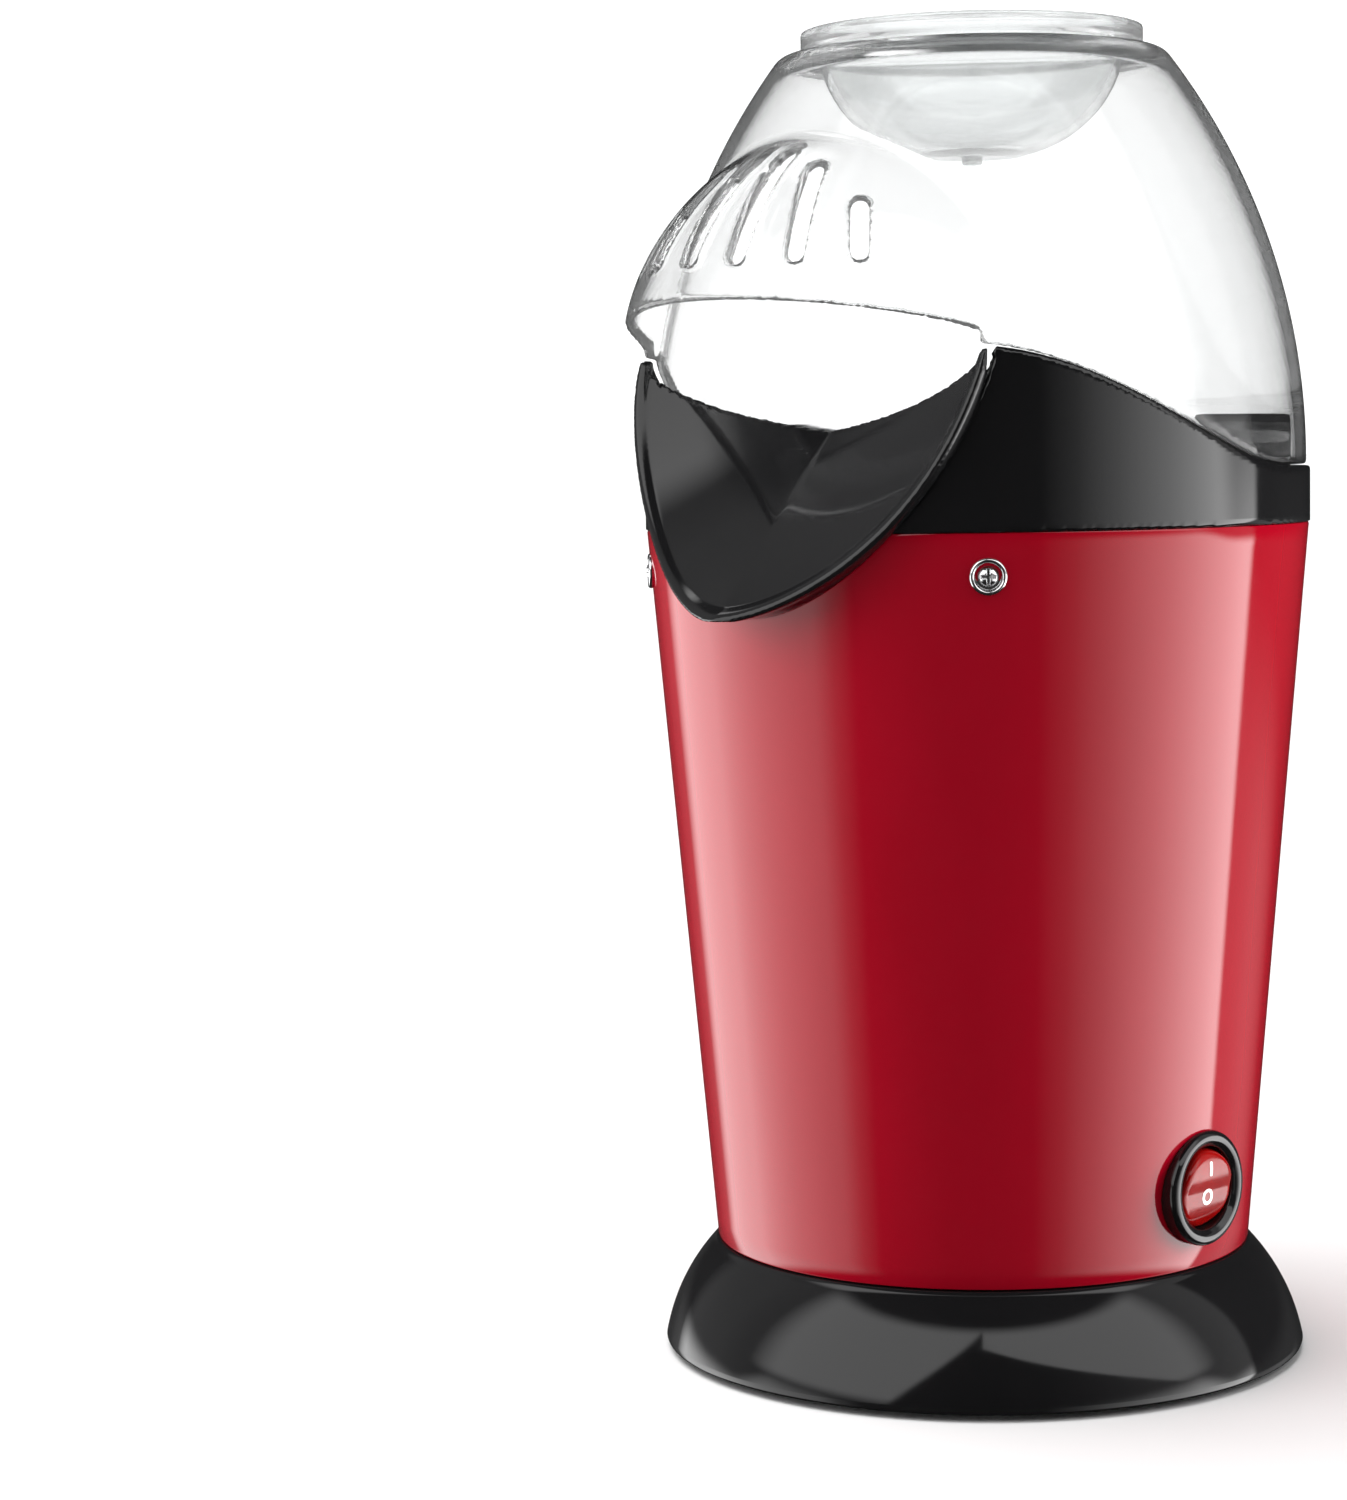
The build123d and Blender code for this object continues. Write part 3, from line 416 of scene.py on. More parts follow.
def add_mesh(name, points, faces, body, slot, *replaced, holes=(), sharp=None):
    """New piece from millimetre points, riding on a body."""
    mesh = bpy.data.meshes.new(name)
    mesh.vertices.add(len(points))
    mesh.vertices.foreach_set("co", (np.asarray(points) * MM).astype(np.float32).ravel())
    if isinstance(faces, np.ndarray):
        sizes = np.full(len(faces), faces.shape[1])
        flat = faces.ravel()
    else:
        sizes = np.array([len(face) for face in faces])
        flat = np.concatenate(faces)
    mesh.loops.add(len(flat))
    mesh.loops.foreach_set("vertex_index", flat.astype(np.int32))
    mesh.polygons.add(len(sizes))
    starts = np.concatenate([[0], np.cumsum(sizes)[:-1]])
    mesh.polygons.foreach_set("loop_start", starts.astype(np.int32))
    mesh.update(calc_edges=True)
    mesh.validate()
    piece = bpy.data.objects.new(name, mesh)
    bpy.context.scene.collection.objects.link(piece)
    if holes:
        drill(piece, holes)
    mesh = piece.data
    mesh.polygons.foreach_set("use_smooth", np.ones(len(mesh.polygons), bool))
    if sharp:
        mesh.set_sharp_from_angle(angle=radians(sharp))
    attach(piece, body)
    if replaced:
        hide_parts(*replaced)
    return piece


def drill(piece, holes):
    """Cuts round holes, each given by its azimuth, height and radius, through a wall."""
    middle, length = 66.0, 30.0
    tool = bmesh.new()
    for az, height, radius in holes:
        turn = Matrix.Rotation(radians(az), 4, "Z")
        place = Matrix.Translation((0, -middle * MM, height * MM)) @ Matrix.Rotation(pi / 2, 4, "X")
        bmesh.ops.create_cone(tool, cap_ends=True, segments=72, radius1=radius * MM, radius2=radius * MM,
                              depth=length * MM, matrix=turn @ place)
    cutter_mesh = bpy.data.meshes.new("cutter")
    tool.to_mesh(cutter_mesh)
    tool.free()
    cutter = bpy.data.objects.new("cutter", cutter_mesh)
    bpy.context.scene.collection.objects.link(cutter)
    cut = piece.modifiers.new("holes", "BOOLEAN")
    cut.operation = "DIFFERENCE"
    cut.solver = "EXACT"
    cut.object = cutter
    shaped = piece.evaluated_get(bpy.context.evaluated_depsgraph_get())
    drilled = bpy.data.meshes.new_from_object(shaped)
    piece.modifiers.clear()
    piece.data = drilled
    bpy.data.objects.remove(cutter)


def sculpt(name, shape, node, step, body, slot):
    """Piece from a distance field, in the box of the CAD node that it stands for."""
    low, high = extent(node)
    margin = 2.5 * step
    points, quads = surface_net(shape, low - margin, high + margin, step)
    points = np.clip(points, low, high)
    return add_mesh(name, points, quads, body, slot, node)


def lathe(name, outline, body, slot, *replaced):
    """Closed piece of revolution about Z from a closed outline of (radius, height)."""
    outline = np.asarray(outline, float)
    on_axis = outline[:, 0] < 1e-6
    points, rows = [], []
    for i, (r, z) in enumerate(outline):
        if on_axis[i]:
            rows.append([len(points)] * LATHE_STEPS)
            points.append((0, 0, z))
        else:
            rows.append(list(range(len(points), len(points) + LATHE_STEPS)))
            turns = [tau * k / LATHE_STEPS for k in range(LATHE_STEPS)]
            points += [(r * cos(turn), r * sin(turn), z) for turn in turns]
    faces = []
    for i, row in enumerate(rows):
        after = rows[(i + 1) % len(rows)]
        if on_axis[i] and on_axis[(i + 1) % len(rows)]:
            continue
        for k in range(LATHE_STEPS):
            following = (k + 1) % LATHE_STEPS
            face = [row[k], row[following], after[following], after[k]]
            faces.append(list(dict.fromkeys(face)))
    return add_mesh(name, points, faces, body, slot, *replaced)


def curve_points(points, count):
    """Points along a smooth curve through the given ones."""
    points = np.array(points, float)
    knots = np.concatenate([[0], np.cumsum(np.linalg.norm(np.diff(points, axis=0), axis=1))])
    slopes = np.gradient(points, knots, axis=0, edge_order=2)
    out = []
    for t in np.linspace(0, knots[-1], count):
        i = min(int(np.searchsorted(knots, t, side="right")) - 1, len(points) - 2)
        span = knots[i + 1] - knots[i]
        s = (t - knots[i]) / span
        out.append((2 * s**3 - 3 * s**2 + 1) * points[i] + (s**3 - 2 * s**2 + s) * span * slopes[i]
                   + (3 * s**2 - 2 * s**3) * points[i + 1] + (s**3 - s**2) * span * slopes[i + 1])
    return [tuple(p) for p in out]


# ---------------------------------------------------------------- materials

class Shader:
    """Small helper that builds one node material."""

    def __init__(self, name):
        self.material = bpy.data.materials.new(name)
        self.material.use_nodes = True
        self.tree = self.material.node_tree
        self.tree.nodes.clear()
        self.bsdf = self.tree.nodes.new("ShaderNodeBsdfPrincipled")
        self.out = self.tree.nodes.new("ShaderNodeOutputMaterial")
        self.tree.links.new(self.bsdf.outputs[0], self.out.inputs["Surface"])
        self.coords = self.tree.nodes.new("ShaderNodeTexCoord").outputs["Object"]

    def set(self, **values):
        """Sets inputs of the surface by name, with _ for a space."""
        for key, value in values.items():
            self.bsdf.inputs[key.replace("_", " ")].default_value = value

    def link(self, source, socket):
        """Drives an input of the surface."""
        self.tree.links.new(source, self.bsdf.inputs[socket])

    def noise(self, scale, detail=4.0, rough=0.55, stretch=(1, 1, 1)):
        """Noise fixed to the piece, stretched along its axes."""
        node = self.tree.nodes.new("ShaderNodeTexNoise")
        node.inputs["Scale"].default_value = scale
        node.inputs["Detail"].default_value = detail
        node.inputs["Roughness"].default_value = rough
        mapping = self.tree.nodes.new("ShaderNodeMapping")
        mapping.inputs["Scale"].default_value = stretch
        self.tree.links.new(self.coords, mapping.inputs["Vector"])
        self.tree.links.new(mapping.outputs[0], node.inputs["Vector"])
        return node.outputs["Fac"]

    def ramp(self, source, stops):
        """Colour by a value, from (place, colour) stops."""
        node = self.tree.nodes.new("ShaderNodeValToRGB")
        ramp = node.color_ramp
        while len(ramp.elements) < len(stops):
            ramp.elements.new(0.5)
        for element, (place, colour) in zip(ramp.elements, stops):
            element.position = place
            element.color = (*colour, 1.0)
        self.tree.links.new(source, node.inputs["Fac"])
        return node.outputs["Color"]

    def span(self, source, low, high, from_low=0.0, from_high=1.0):
        """The value, stretched from one range to another."""
        node = self.tree.nodes.new("ShaderNodeMapRange")
        node.inputs["From Min"].default_value = from_low
        node.inputs["From Max"].default_value = from_high
        node.inputs["To Min"].default_value = low
        node.inputs["To Max"].default_value = high
        self.tree.links.new(source, node.inputs["Value"])
        return node.outputs[0]

    def bump(self, height, strength, distance):
        """Fine relief on the surface."""
        node = self.tree.nodes.new("ShaderNodeBump")
        node.inputs["Strength"].default_value = strength
        node.inputs["Distance"].default_value = distance
        self.tree.links.new(height, node.inputs["Height"])
        self.tree.links.new(node.outputs[0], self.bsdf.inputs["Normal"])

    def light_through(self, tint, straight):
        """Lets lamp light through, and a share of the view, so that what the clear piece covers is lit."""
        path = self.tree.nodes.new("ShaderNodeLightPath")
        clear = self.tree.nodes.new("ShaderNodeBsdfTransparent")
        clear.inputs["Color"].default_value = (*tint, 1.0)
        mix = self.tree.nodes.new("ShaderNodeMixShader")
        share = self.tree.nodes.new("ShaderNodeMath")
        share.operation = "MAXIMUM"
        share.inputs[1].default_value = straight
        self.tree.links.new(path.outputs["Is Shadow Ray"], share.inputs[0])
        self.tree.links.new(share.outputs[0], mix.inputs[0])
        self.tree.links.new(self.bsdf.outputs[0], mix.inputs[1])
        self.tree.links.new(clear.outputs[0], mix.inputs[2])
        self.tree.links.new(mix.outputs[0], self.out.inputs["Surface"])


def moulded_gloss(name, dark, light, rough_low, rough_high):
    """Injection-moulded gloss plastic: faint flow marks, fine handling haze."""
    s = Shader(name)
    flow = s.noise(18, 5, 0.6, (1, 1, 0.35))
    s.link(s.ramp(flow, [(0.3, dark), (0.75, light)]), "Base Color")
    haze = s.noise(160, 6, 0.7)
    s.link(s.span(haze, rough_low, rough_high, 0.3, 0.75), "Roughness")
    s.bump(s.noise(55, 3, 0.5), 0.03, 0.0004)
    s.set(IOR=1.5)
    return s.material


def clear_plastic(name, tint, rough, straight):
    """Clear polished plastic with faint moulding flow; a share of the light goes straight through."""
    s = Shader(name)
    s.set(Transmission_Weight=1.0, IOR=1.47)
    paler = tuple(min(1, c + 0.01) for c in tint)
    s.link(s.ramp(s.noise(22, 3, 0.5), [(0.3, tint), (0.8, paler)]), "Base Color")
    s.link(s.span(s.noise(240, 6, 0.7), rough * 0.5, rough * 1.6, 0.35, 0.75), "Roughness")
    s.bump(s.noise(30, 2, 0.4), 0.04, 0.0004)
    s.light_through((0.985, 0.99, 0.99), straight)
    return s.material


def metal(name, colour, rough_low, rough_high, stretch, scale=90):
    """Metal with fine drawn or turned lines."""
    s = Shader(name)
    lines = s.noise(scale, 8, 0.75, stretch)
    darker = tuple(c * 0.8 for c in colour)
    s.link(s.ramp(lines, [(0.3, darker), (0.7, colour)]), "Base Color")
    s.link(s.span(lines, rough_low, rough_high, 0.3, 0.7), "Roughness")
    s.bump(lines, 0.12, 0.0002)
    s.set(Metallic=1.0)
    return s.material


def matt(name, dark, light, rough, grain, strength=0.25):
    """Matt moulded or sheet material with a fine spark texture."""
    s = Shader(name)
    s.link(s.ramp(s.noise(grain * 0.2, 4, 0.6), [(0.3, dark), (0.7, light)]), "Base Color")
    s.link(s.span(s.noise(grain, 4, 0.7), rough - 0.1, rough + 0.1, 0.3, 0.7), "Roughness")
    s.bump(s.noise(grain * 2.2, 4, 0.7), strength, 0.0002)
    return s.material


gloss_black = moulded_gloss("gloss_black", (0.003, 0.003, 0.0032), (0.0046, 0.0044, 0.0047), 0.05, 0.10)
red_gloss = moulded_gloss("red_gloss", (0.165, 0.0005, 0.005), (0.195, 0.001, 0.0075), 0.05, 0.09)
clear = clear_plastic("clear_plastic", (0.985, 0.99, 0.99), 0.012, 0.12)
cup_clear = clear_plastic("cup_plastic", (0.96, 0.975, 0.975), 0.02, 0.2)
chrome = metal("chrome_plate", (0.86, 0.86, 0.87), 0.06, 0.14, (1, 1, 1), 200)
steel = metal("steel", (0.55, 0.55, 0.56), 0.28, 0.45, (1, 1, 6))
pan = metal("drawn_aluminium", (0.80, 0.80, 0.81), 0.22, 0.36, (1, 1, 7), 60)
nichrome = metal("nichrome", (0.32, 0.28, 0.26), 0.35, 0.6, (1, 1, 1))
copper = metal("copper", (0.85, 0.45, 0.28), 0.2, 0.35, (1, 1, 5))
bronze = metal("bronze", (0.70, 0.50, 0.28), 0.35, 0.5, (1, 1, 1))
rubber = matt("foot_rubber", (0.012, 0.012, 0.012), (0.022, 0.021, 0.02), 0.72, 600)
matt_black = matt("matt_black", (0.016, 0.016, 0.017), (0.026, 0.026, 0.027), 0.52, 900)
fan_plastic = matt("fan_plastic", (0.55, 0.55, 0.5), (0.64, 0.64, 0.6), 0.45, 500)
mica = matt("mica", (0.42, 0.36, 0.25), (0.62, 0.55, 0.4), 0.4, 120, 0.5)
magnet = matt("magnet", (0.03, 0.03, 0.032), (0.05, 0.05, 0.052), 0.6, 800)
carbon = matt("carbon", (0.015, 0.015, 0.015), (0.03, 0.03, 0.03), 0.6, 900)
board = matt("laminate", (0.20, 0.11, 0.04), (0.3, 0.18, 0.08), 0.45, 300)
lead_red = matt("lead_red", (0.35, 0.02, 0.02), (0.42, 0.03, 0.03), 0.4, 400, 0.1)
lead_white = matt("lead_white", (0.65, 0.64, 0.6), (0.75, 0.74, 0.7), 0.4, 400, 0.1)


def lens_material():
    """Translucent red rocker with a very faint painted red glow, from emission that no lit lamp gives."""
    s = Shader("red_lens")
    reds = [(0.3, (0.12, 0.001, 0.001)), (0.8, (0.17, 0.002, 0.0015))]
    s.link(s.ramp(s.noise(120, 4, 0.5), reds), "Base Color")
    s.link(s.span(s.noise(400, 4, 0.6), 0.06, 0.14, 0.3, 0.7), "Roughness")
    s.bump(s.noise(90, 2, 0.5), 0.04, 0.0003)
    s.set(Specular_IOR_Level=0.35, Subsurface_Weight=0.2, Subsurface_Scale=0.002)
    s.bsdf.inputs["Subsurface Radius"].default_value = (1.0, 0.1, 0.06)
    # Painted glow: a faint red emission on the rocker, though nothing inside it is lit
    s.bsdf.inputs["Emission Color"].default_value = (0.9, 0.02, 0.01, 1)
    s.set(Emission_Strength=0.01)
    return s.material


def ink_material():
    """White print, a little uneven."""
    s = Shader("white_print")
    whites = [(0.3, (0.78, 0.77, 0.74)), (0.7, (0.88, 0.87, 0.85))]
    s.link(s.ramp(s.noise(500, 3, 0.5), whites), "Base Color")
    s.link(s.span(s.noise(700, 3, 0.5), 0.3, 0.45), "Roughness")
    return s.material


def lamp_material():
    """Faintly orange glass of the neon lamp."""
    s = Shader("lamp_glass")
    s.set(Transmission_Weight=0.8, IOR=1.45)
    s.link(s.ramp(s.noise(300), [(0.3, (0.95, 0.6, 0.4)), (0.7, (0.98, 0.68, 0.5))]), "Base Color")
    s.link(s.span(s.noise(500), 0.03, 0.1), "Roughness")
    return s.material


red_lens = lens_material()
white_ink = ink_material()

BY_SLOT = {
    "gloss_black": gloss_black, "red_body": red_gloss, "clear_cover": clear, "red_lens": red_lens,
    "chromed": chrome, "steel": steel, "pan_aluminium": pan, "mica": mica, "nichrome": nichrome,
    "foot_rubber": rubber, "matt_black": matt_black, "fan_plastic": fan_plastic, "magnet": magnet,
    "copper": copper, "bronze": bronze, "carbon": carbon, "board": board, "diode_black": gloss_black,
    "lamp_glass": lamp_material(), "lead_red": lead_red, "lead_white": lead_white,
}


def paint(piece, material):
    """Gives a piece one material on every face."""
    piece.data.materials.clear()
    piece.data.materials.append(material)
    piece.data.polygons.foreach_set("material_index", np.zeros(len(piece.data.polygons), np.int32))


for row in frame["record"]["subparts"]:
    paint(nodes[row["node"]], BY_SLOT[row["material_slot"]])


# ---------------------------------------------------------------- visible shells

def base_outline():
    """Flared base from its floor edge up over the ledge, then the inside back down."""
    low = base_low[2]
    high = BODY_BOTTOM - 0.3
    outer = curve_points([(base_high[0], low + 0.6), (67.4, 12.8), (59.6, high - 0.7)], 28)
    ledge = [(59.35, high - 0.15), (58.9, high), (56.3, high), (56.3, high + 5.6), (55.9, high + 6),
             (54.7, high + 6), (54.3, high + 5.6), (54.3, high - 2.2)]
    inner = curve_points([(58.0, high - 2.2), (65.2, 11.8), (68.8, low + 0.5)], 20)
    floor_edge = [(69.1, low + 0.1), (69.5, low), (70.4, low), (70.85, low + 0.15)]
    return outer + ledge + inner + floor_edge


def cup_outline():
    """Measuring cup: curved bowl, flat floor and an upright rim band."""
    top = cup_high[2]
    under = cup_low[2] + 1.8
    seat = COVER_TOP + 0.3
    nub = [(0, under - 1.8), (1.9, under - 1.8), (2.2, under - 1.5), (2.3, under - 0.2), (2.7, under),
           (11.0, under)]
    bowl = [(13.0, under + 0.6), (20.8, 266.4), (26.6, 271.0), (31.8, 279.0), (33.5, seat - 0.4)]
    rim = [(33.9, seat), (36.8, seat), (37.12, seat + 0.15), (cup_high[0], seat + 0.5),
           (cup_high[0], top - 0.6), (37.05, top - 0.15), (36.6, top), (35.8, top), (35.35, top - 0.15),
           (35.2, top - 0.6), (35.1, 288.6), (34.6, 287.6), (33.9, 286.8), (32.6, 285.6), (31.8, 284.6)]
    inside = [(31.7, 284.4), (30.0, 279.4), (25.1, 272.2), (19.8, 267.9), (12.5, under + 2.3)]
    middle = [(11.0, under + 1.85), (0, under + 1.8)]
    return nub + curve_points(bowl, 40) + rim + curve_points(inside, 40) + middle


def wall_top(depth):
    """Upper edge of the body wall in each column, at a depth inside its outer face, found by halving."""
    az = tau * np.arange(COLUMNS) / COLUMNS
    low = np.full(COLUMNS, BODY_BOTTOM + 60)
    high = np.full(COLUMNS, BODY_TOP)
    for _ in range(40):
        middle = (low + high) / 2
        r = body_radius(middle) - depth
        inside = chute_room(r * np.sin(az), -r * np.cos(az), middle) < 0
        high = np.where(inside, middle, high)
        low = np.where(inside, low, middle)
    return low


def red_shell():
    """Tapered shell with the chute's notch in its upper edge and its round holes."""
    soft, mid = 0.55, 0.16
    foot = BODY_BOTTOM
    rows = []

    def row(depth, height):
        """One loop round the shell."""
        rows.append((depth, np.broadcast_to(height, COLUMNS)))

    outer_top = wall_top(0) - soft
    for t in np.linspace(0, 1, 40):
        row(0, foot + soft + (outer_top - foot - soft) * t)
    row(mid, wall_top(mid) - mid)
    row(soft, wall_top(soft))
    row(BODY_WALL - soft, wall_top(BODY_WALL - soft))
    row(BODY_WALL - mid, wall_top(BODY_WALL - mid) - mid)
    inner_top = wall_top(BODY_WALL) - soft
    for t in np.linspace(1, 0, 24):
        row(BODY_WALL, foot + soft + (inner_top - foot - soft) * t)
    row(BODY_WALL - mid, foot + mid)
    row(BODY_WALL - soft, foot)
    row(soft, foot)
    row(mid, foot + mid)
    az = tau * np.arange(COLUMNS) / COLUMNS
    points = []
    for depth, height in rows:
        r = body_radius(height) - depth
        points.append(np.stack([r * np.sin(az), -r * np.cos(az), height], 1))
    count = len(rows)
    i, k = np.meshgrid(np.arange(count), np.arange(COLUMNS), indexing="ij")
    here, after = i * COLUMNS, (i + 1) % count * COLUMNS
    beside = (k + 1) % COLUMNS
    quads = np.stack([here + k, here + beside, after + beside, after + k], 2).reshape(-1, 4)
    holes = [(90, SWITCH_Z, SWITCH_R + 0.15), (180, GLAND_Z, GLAND_HOLE_R)]
    holes += [(az, SHELL_SCREW_Z, SCREW_HOLE_R) for az in SHELL_SCREW_AZ]
    return add_mesh("red_shell", np.concatenate(points), quads, "housing", "red_body", "body_shell",
                    holes=holes, sharp=40)


def sculpt_fasteners(name, shape, half, low, high, node):
    """The same small piece at each shell screw, from a field of (sideways, up, outwards)."""
    least, most = np.array([-half, -half, low]), np.array([half, half, high])
    points, quads = surface_net(shape, least, most, STEPS["screw"])
    everything, faces = [], []
    seat = body_radius(SHELL_SCREW_Z)
    for i, az in enumerate(SHELL_SCREW_AZ):
        turn = radians(az)
        side = np.array([cos(turn), sin(turn), 0])
        out = np.array([sin(turn), -cos(turn), 0])
        up = np.array([0, 0, 1])
        place = points[:, :1] * side + points[:, 1:2] * up + (points[:, 2:] + seat) * out
        everything.append(place + np.array([0, 0, SHELL_SCREW_Z]))
        faces.append(quads + i * len(points))
    outward = np.concatenate(faces)[:, ::-1]
    return add_mesh(name, np.concatenate(everything), outward, "housing", "chromed", node)


cover = sculpt("clear_cover", cover_shape, "top_cover", STEPS["cover"], "cover", "clear_cover")
chute = sculpt("pouring_chute", chute_shape, "spout_chute", STEPS["chute"], "housing", "gloss_black")
ring = sculpt("upper_ring", ring_shape, "upper_housing", STEPS["ring"], "housing", "gloss_black")
shell = red_shell()
base = lathe("flared_base", base_outline(), "housing", "gloss_black", "base_shell")
cup = lathe("cup", cup_outline(), "cup", "clear_cover", "measuring_cup")
case = sculpt("switch_case", bezel_shape, "switch_housing", STEPS["case"], "housing", "gloss_black")
rocker = sculpt("rocker", rocker_shape, "switch_rocker", STEPS["rocker"], "rocker", "red_lens")
washers = sculpt_fasteners("cup_washers", washer_shape, 4.4, -1.2, 1.2, "screw_cup_washers")
screws = sculpt_fasteners("pan_screws", screw_shape, 2.8, -8.6, 1.8, "shell_screws")

for piece in (chute, ring, base, case):
    paint(piece, gloss_black)
for piece in (washers, screws):
    paint(piece, chrome)
paint(cover, clear)
paint(shell, red_gloss)
paint(cup, cup_clear)
paint(rocker, red_lens)


def rocker_mark(name, outer, inner):
    """Thin printed mark on the rocker from (sideways, along) outlines, closed or with a hole."""
    turn = radians(ROCKER_TILT)
    sunk, proud = -0.1, 0.07
    loops = [(outer, sunk), (outer, proud)]
    if inner is None:
        loops.append((np.full_like(outer, outer.mean(0)), proud))
    else:
        loops += [(inner, proud), (inner, sunk)]
    points = []
    for loop, lift in loops:
        out = rocker_face(loop[:, 1]) + lift
        x = PIVOT_X + out * cos(turn) + loop[:, 1] * sin(turn)
        z = SWITCH_Z - out * sin(turn) + loop[:, 1] * cos(turn)
        points.append(np.stack([x, loop[:, 0], z], 1))
    count, rows = len(outer), len(loops)
    faces = []
    last = rows if inner is not None else rows - 1
    for i in range(last):
        for k in range(count):
            after = (k + 1) % count
            j = (i + 1) % rows
            faces.append((i * count + k, i * count + after, j * count + after, j * count + k))
    mark = add_mesh(name, np.concatenate(points), faces, "rocker", "red_lens", sharp=40)
    paint(mark, white_ink)


def ring_loop(centre, radius):
    """Circle of (sideways, along) points."""
    turn = tau * np.arange(MARK_CORNERS) / MARK_CORNERS
    return np.stack([radius * np.cos(turn), centre + radius * np.sin(turn)], 1)


def bar_loop(centre, half_side, half_along):
    """Rounded bar of (sideways, along) points, a superellipse of power 6."""
    turn = tau * np.arange(MARK_CORNERS) / MARK_CORNERS
    square = 2 / 6
    side = half_side * np.sign(np.cos(turn)) * np.abs(np.cos(turn)) ** square
    along = half_along * np.sign(np.sin(turn)) * np.abs(np.sin(turn)) ** square
    return np.stack([side, centre + along], 1)


rocker_mark("on_mark", bar_loop(5.0, 0.42, 1.5), None)
rocker_mark("off_mark", ring_loop(-1.2, 1.75), ring_loop(-1.2, 1.05))


# ---------------------------------------------------------------- stage, light and camera

def floor_plane(half):
    """Square floor under the object, which no reflection shows."""
    mesh = bpy.data.meshes.new("floor")
    corners = [(-half, -half, 0), (half, -half, 0), (half, half, 0), (-half, half, 0)]
    mesh.from_pydata(corners, [], [(0, 1, 2, 3)])
    plane = bpy.data.objects.new("floor", mesh)
    bpy.context.scene.collection.objects.link(plane)
    mesh.materials.append(floor_material())
    plane.visible_glossy = False
    return plane


def floor_material():
    """Plain pale grey, nearly matt."""
    s = Shader("pale_floor")
    greys = [(0.3, (0.80, 0.80, 0.80)), (0.7, (0.83, 0.83, 0.83))]
    s.link(s.ramp(s.noise(3, 4, 0.5), greys), "Base Color")
    s.link(s.span(s.noise(40), 0.6, 0.75), "Roughness")
    s.set(Specular_IOR_Level=0.2)
    return s.material


floor = floor_plane(40)

# Camera: lengths in metres, angles in degrees
CAMERA_AZ = 40.0        # direction of the camera from the axis, measured from the spout
CAMERA_OUT = 0.777
CAMERA_UP = 0.200
CAMERA_YAW = -4.98      # aim, left of the axis
CAMERA_DIP = 4.90
CAMERA_ROLL = -0.94
CAMERA_LENS = 84.0      # in millimetres, as the sensor
CAMERA_SENSOR = 36.0


def place_camera():
    """Camera level with the black ring, aimed a little down and rolled."""
    turn = Matrix.Rotation(radians(CAMERA_AZ), 3, "Z")
    yaw, dip, roll = radians(CAMERA_YAW), radians(CAMERA_DIP), radians(CAMERA_ROLL)
    forward = Vector((sin(yaw) * cos(dip), cos(yaw) * cos(dip), -sin(dip)))
    right = forward.cross(Vector((0, 0, 1))).normalized()
    up = right.cross(forward)
    right_rolled = cos(roll) * right + sin(roll) * up
    up_rolled = -sin(roll) * right + cos(roll) * up
    axes = Matrix((turn @ right_rolled, turn @ up_rolled, -(turn @ forward))).transposed()
    data = bpy.data.cameras.new("camera")
    data.lens = CAMERA_LENS
    data.sensor_width = CAMERA_SENSOR
    data.clip_start = 0.01
    camera = bpy.data.objects.new("camera", data)
    place = turn @ Vector((0, -CAMERA_OUT, CAMERA_UP))
    camera.matrix_world = Matrix.Translation(place) @ axes.to_4x4()
    bpy.context.scene.collection.objects.link(camera)
    bpy.context.scene.camera = camera


def fill_light(name, az, height, distance, size, power):
    """Soft light that brightens without showing as a reflection, az from the camera's direction."""
    data = bpy.data.lights.new(name, "AREA")
    data.size = size
    data.energy = power
    lamp = bpy.data.objects.new(name, data)
    direction = radians(CAMERA_AZ + az)
    lamp.location = Vector((distance * sin(direction), -distance * cos(direction), height))
    middle = Vector((0, 0, 0.14))
    aim = middle - lamp.location
    lamp.rotation_euler = aim.to_track_quat("-Z", "Y").to_euler()
    lamp.visible_glossy = False
    lamp.visible_transmission = False
    lamp.light_linking.receiver_collection = lit_by_fills
    bpy.context.scene.collection.objects.link(lamp)


def sky_light(strength):
    """Wide overhead light, as from a large ceiling panel."""
    data = bpy.data.lights.new("ceiling", "SUN")
    data.energy = strength
    data.angle = radians(60)
    lamp = bpy.data.objects.new("ceiling", data)
    tip = Vector((0.25, 0.1, -1))
    lamp.rotation_euler = tip.to_track_quat("-Z", "Y").to_euler()
    lamp.visible_glossy = False
    lamp.visible_transmission = False
    bpy.context.scene.collection.objects.link(lamp)


# Brightness of the two softboxes by direction, in degrees from the camera's, growing to its right
PANELS = [
    (-180, 0.0), (-155, 0.05), (-142, 0.2), (-134, 2.6), (-110, 3.6), (-84, 2.3), (-60, 1.4), (-52, 0.5),
    (-44, 0.04), (0, 0.02), (22, 0.03), (34, 0.4), (49, 1.3), (68, 2.7), (88, 4.6), (104, 5.5),
    (108.5, 5.5), (111, 0.14), (130, 0.1), (145, 0.05), (160, 0.01), (180, 0.0),
]
PANEL_PEAK = 6.0


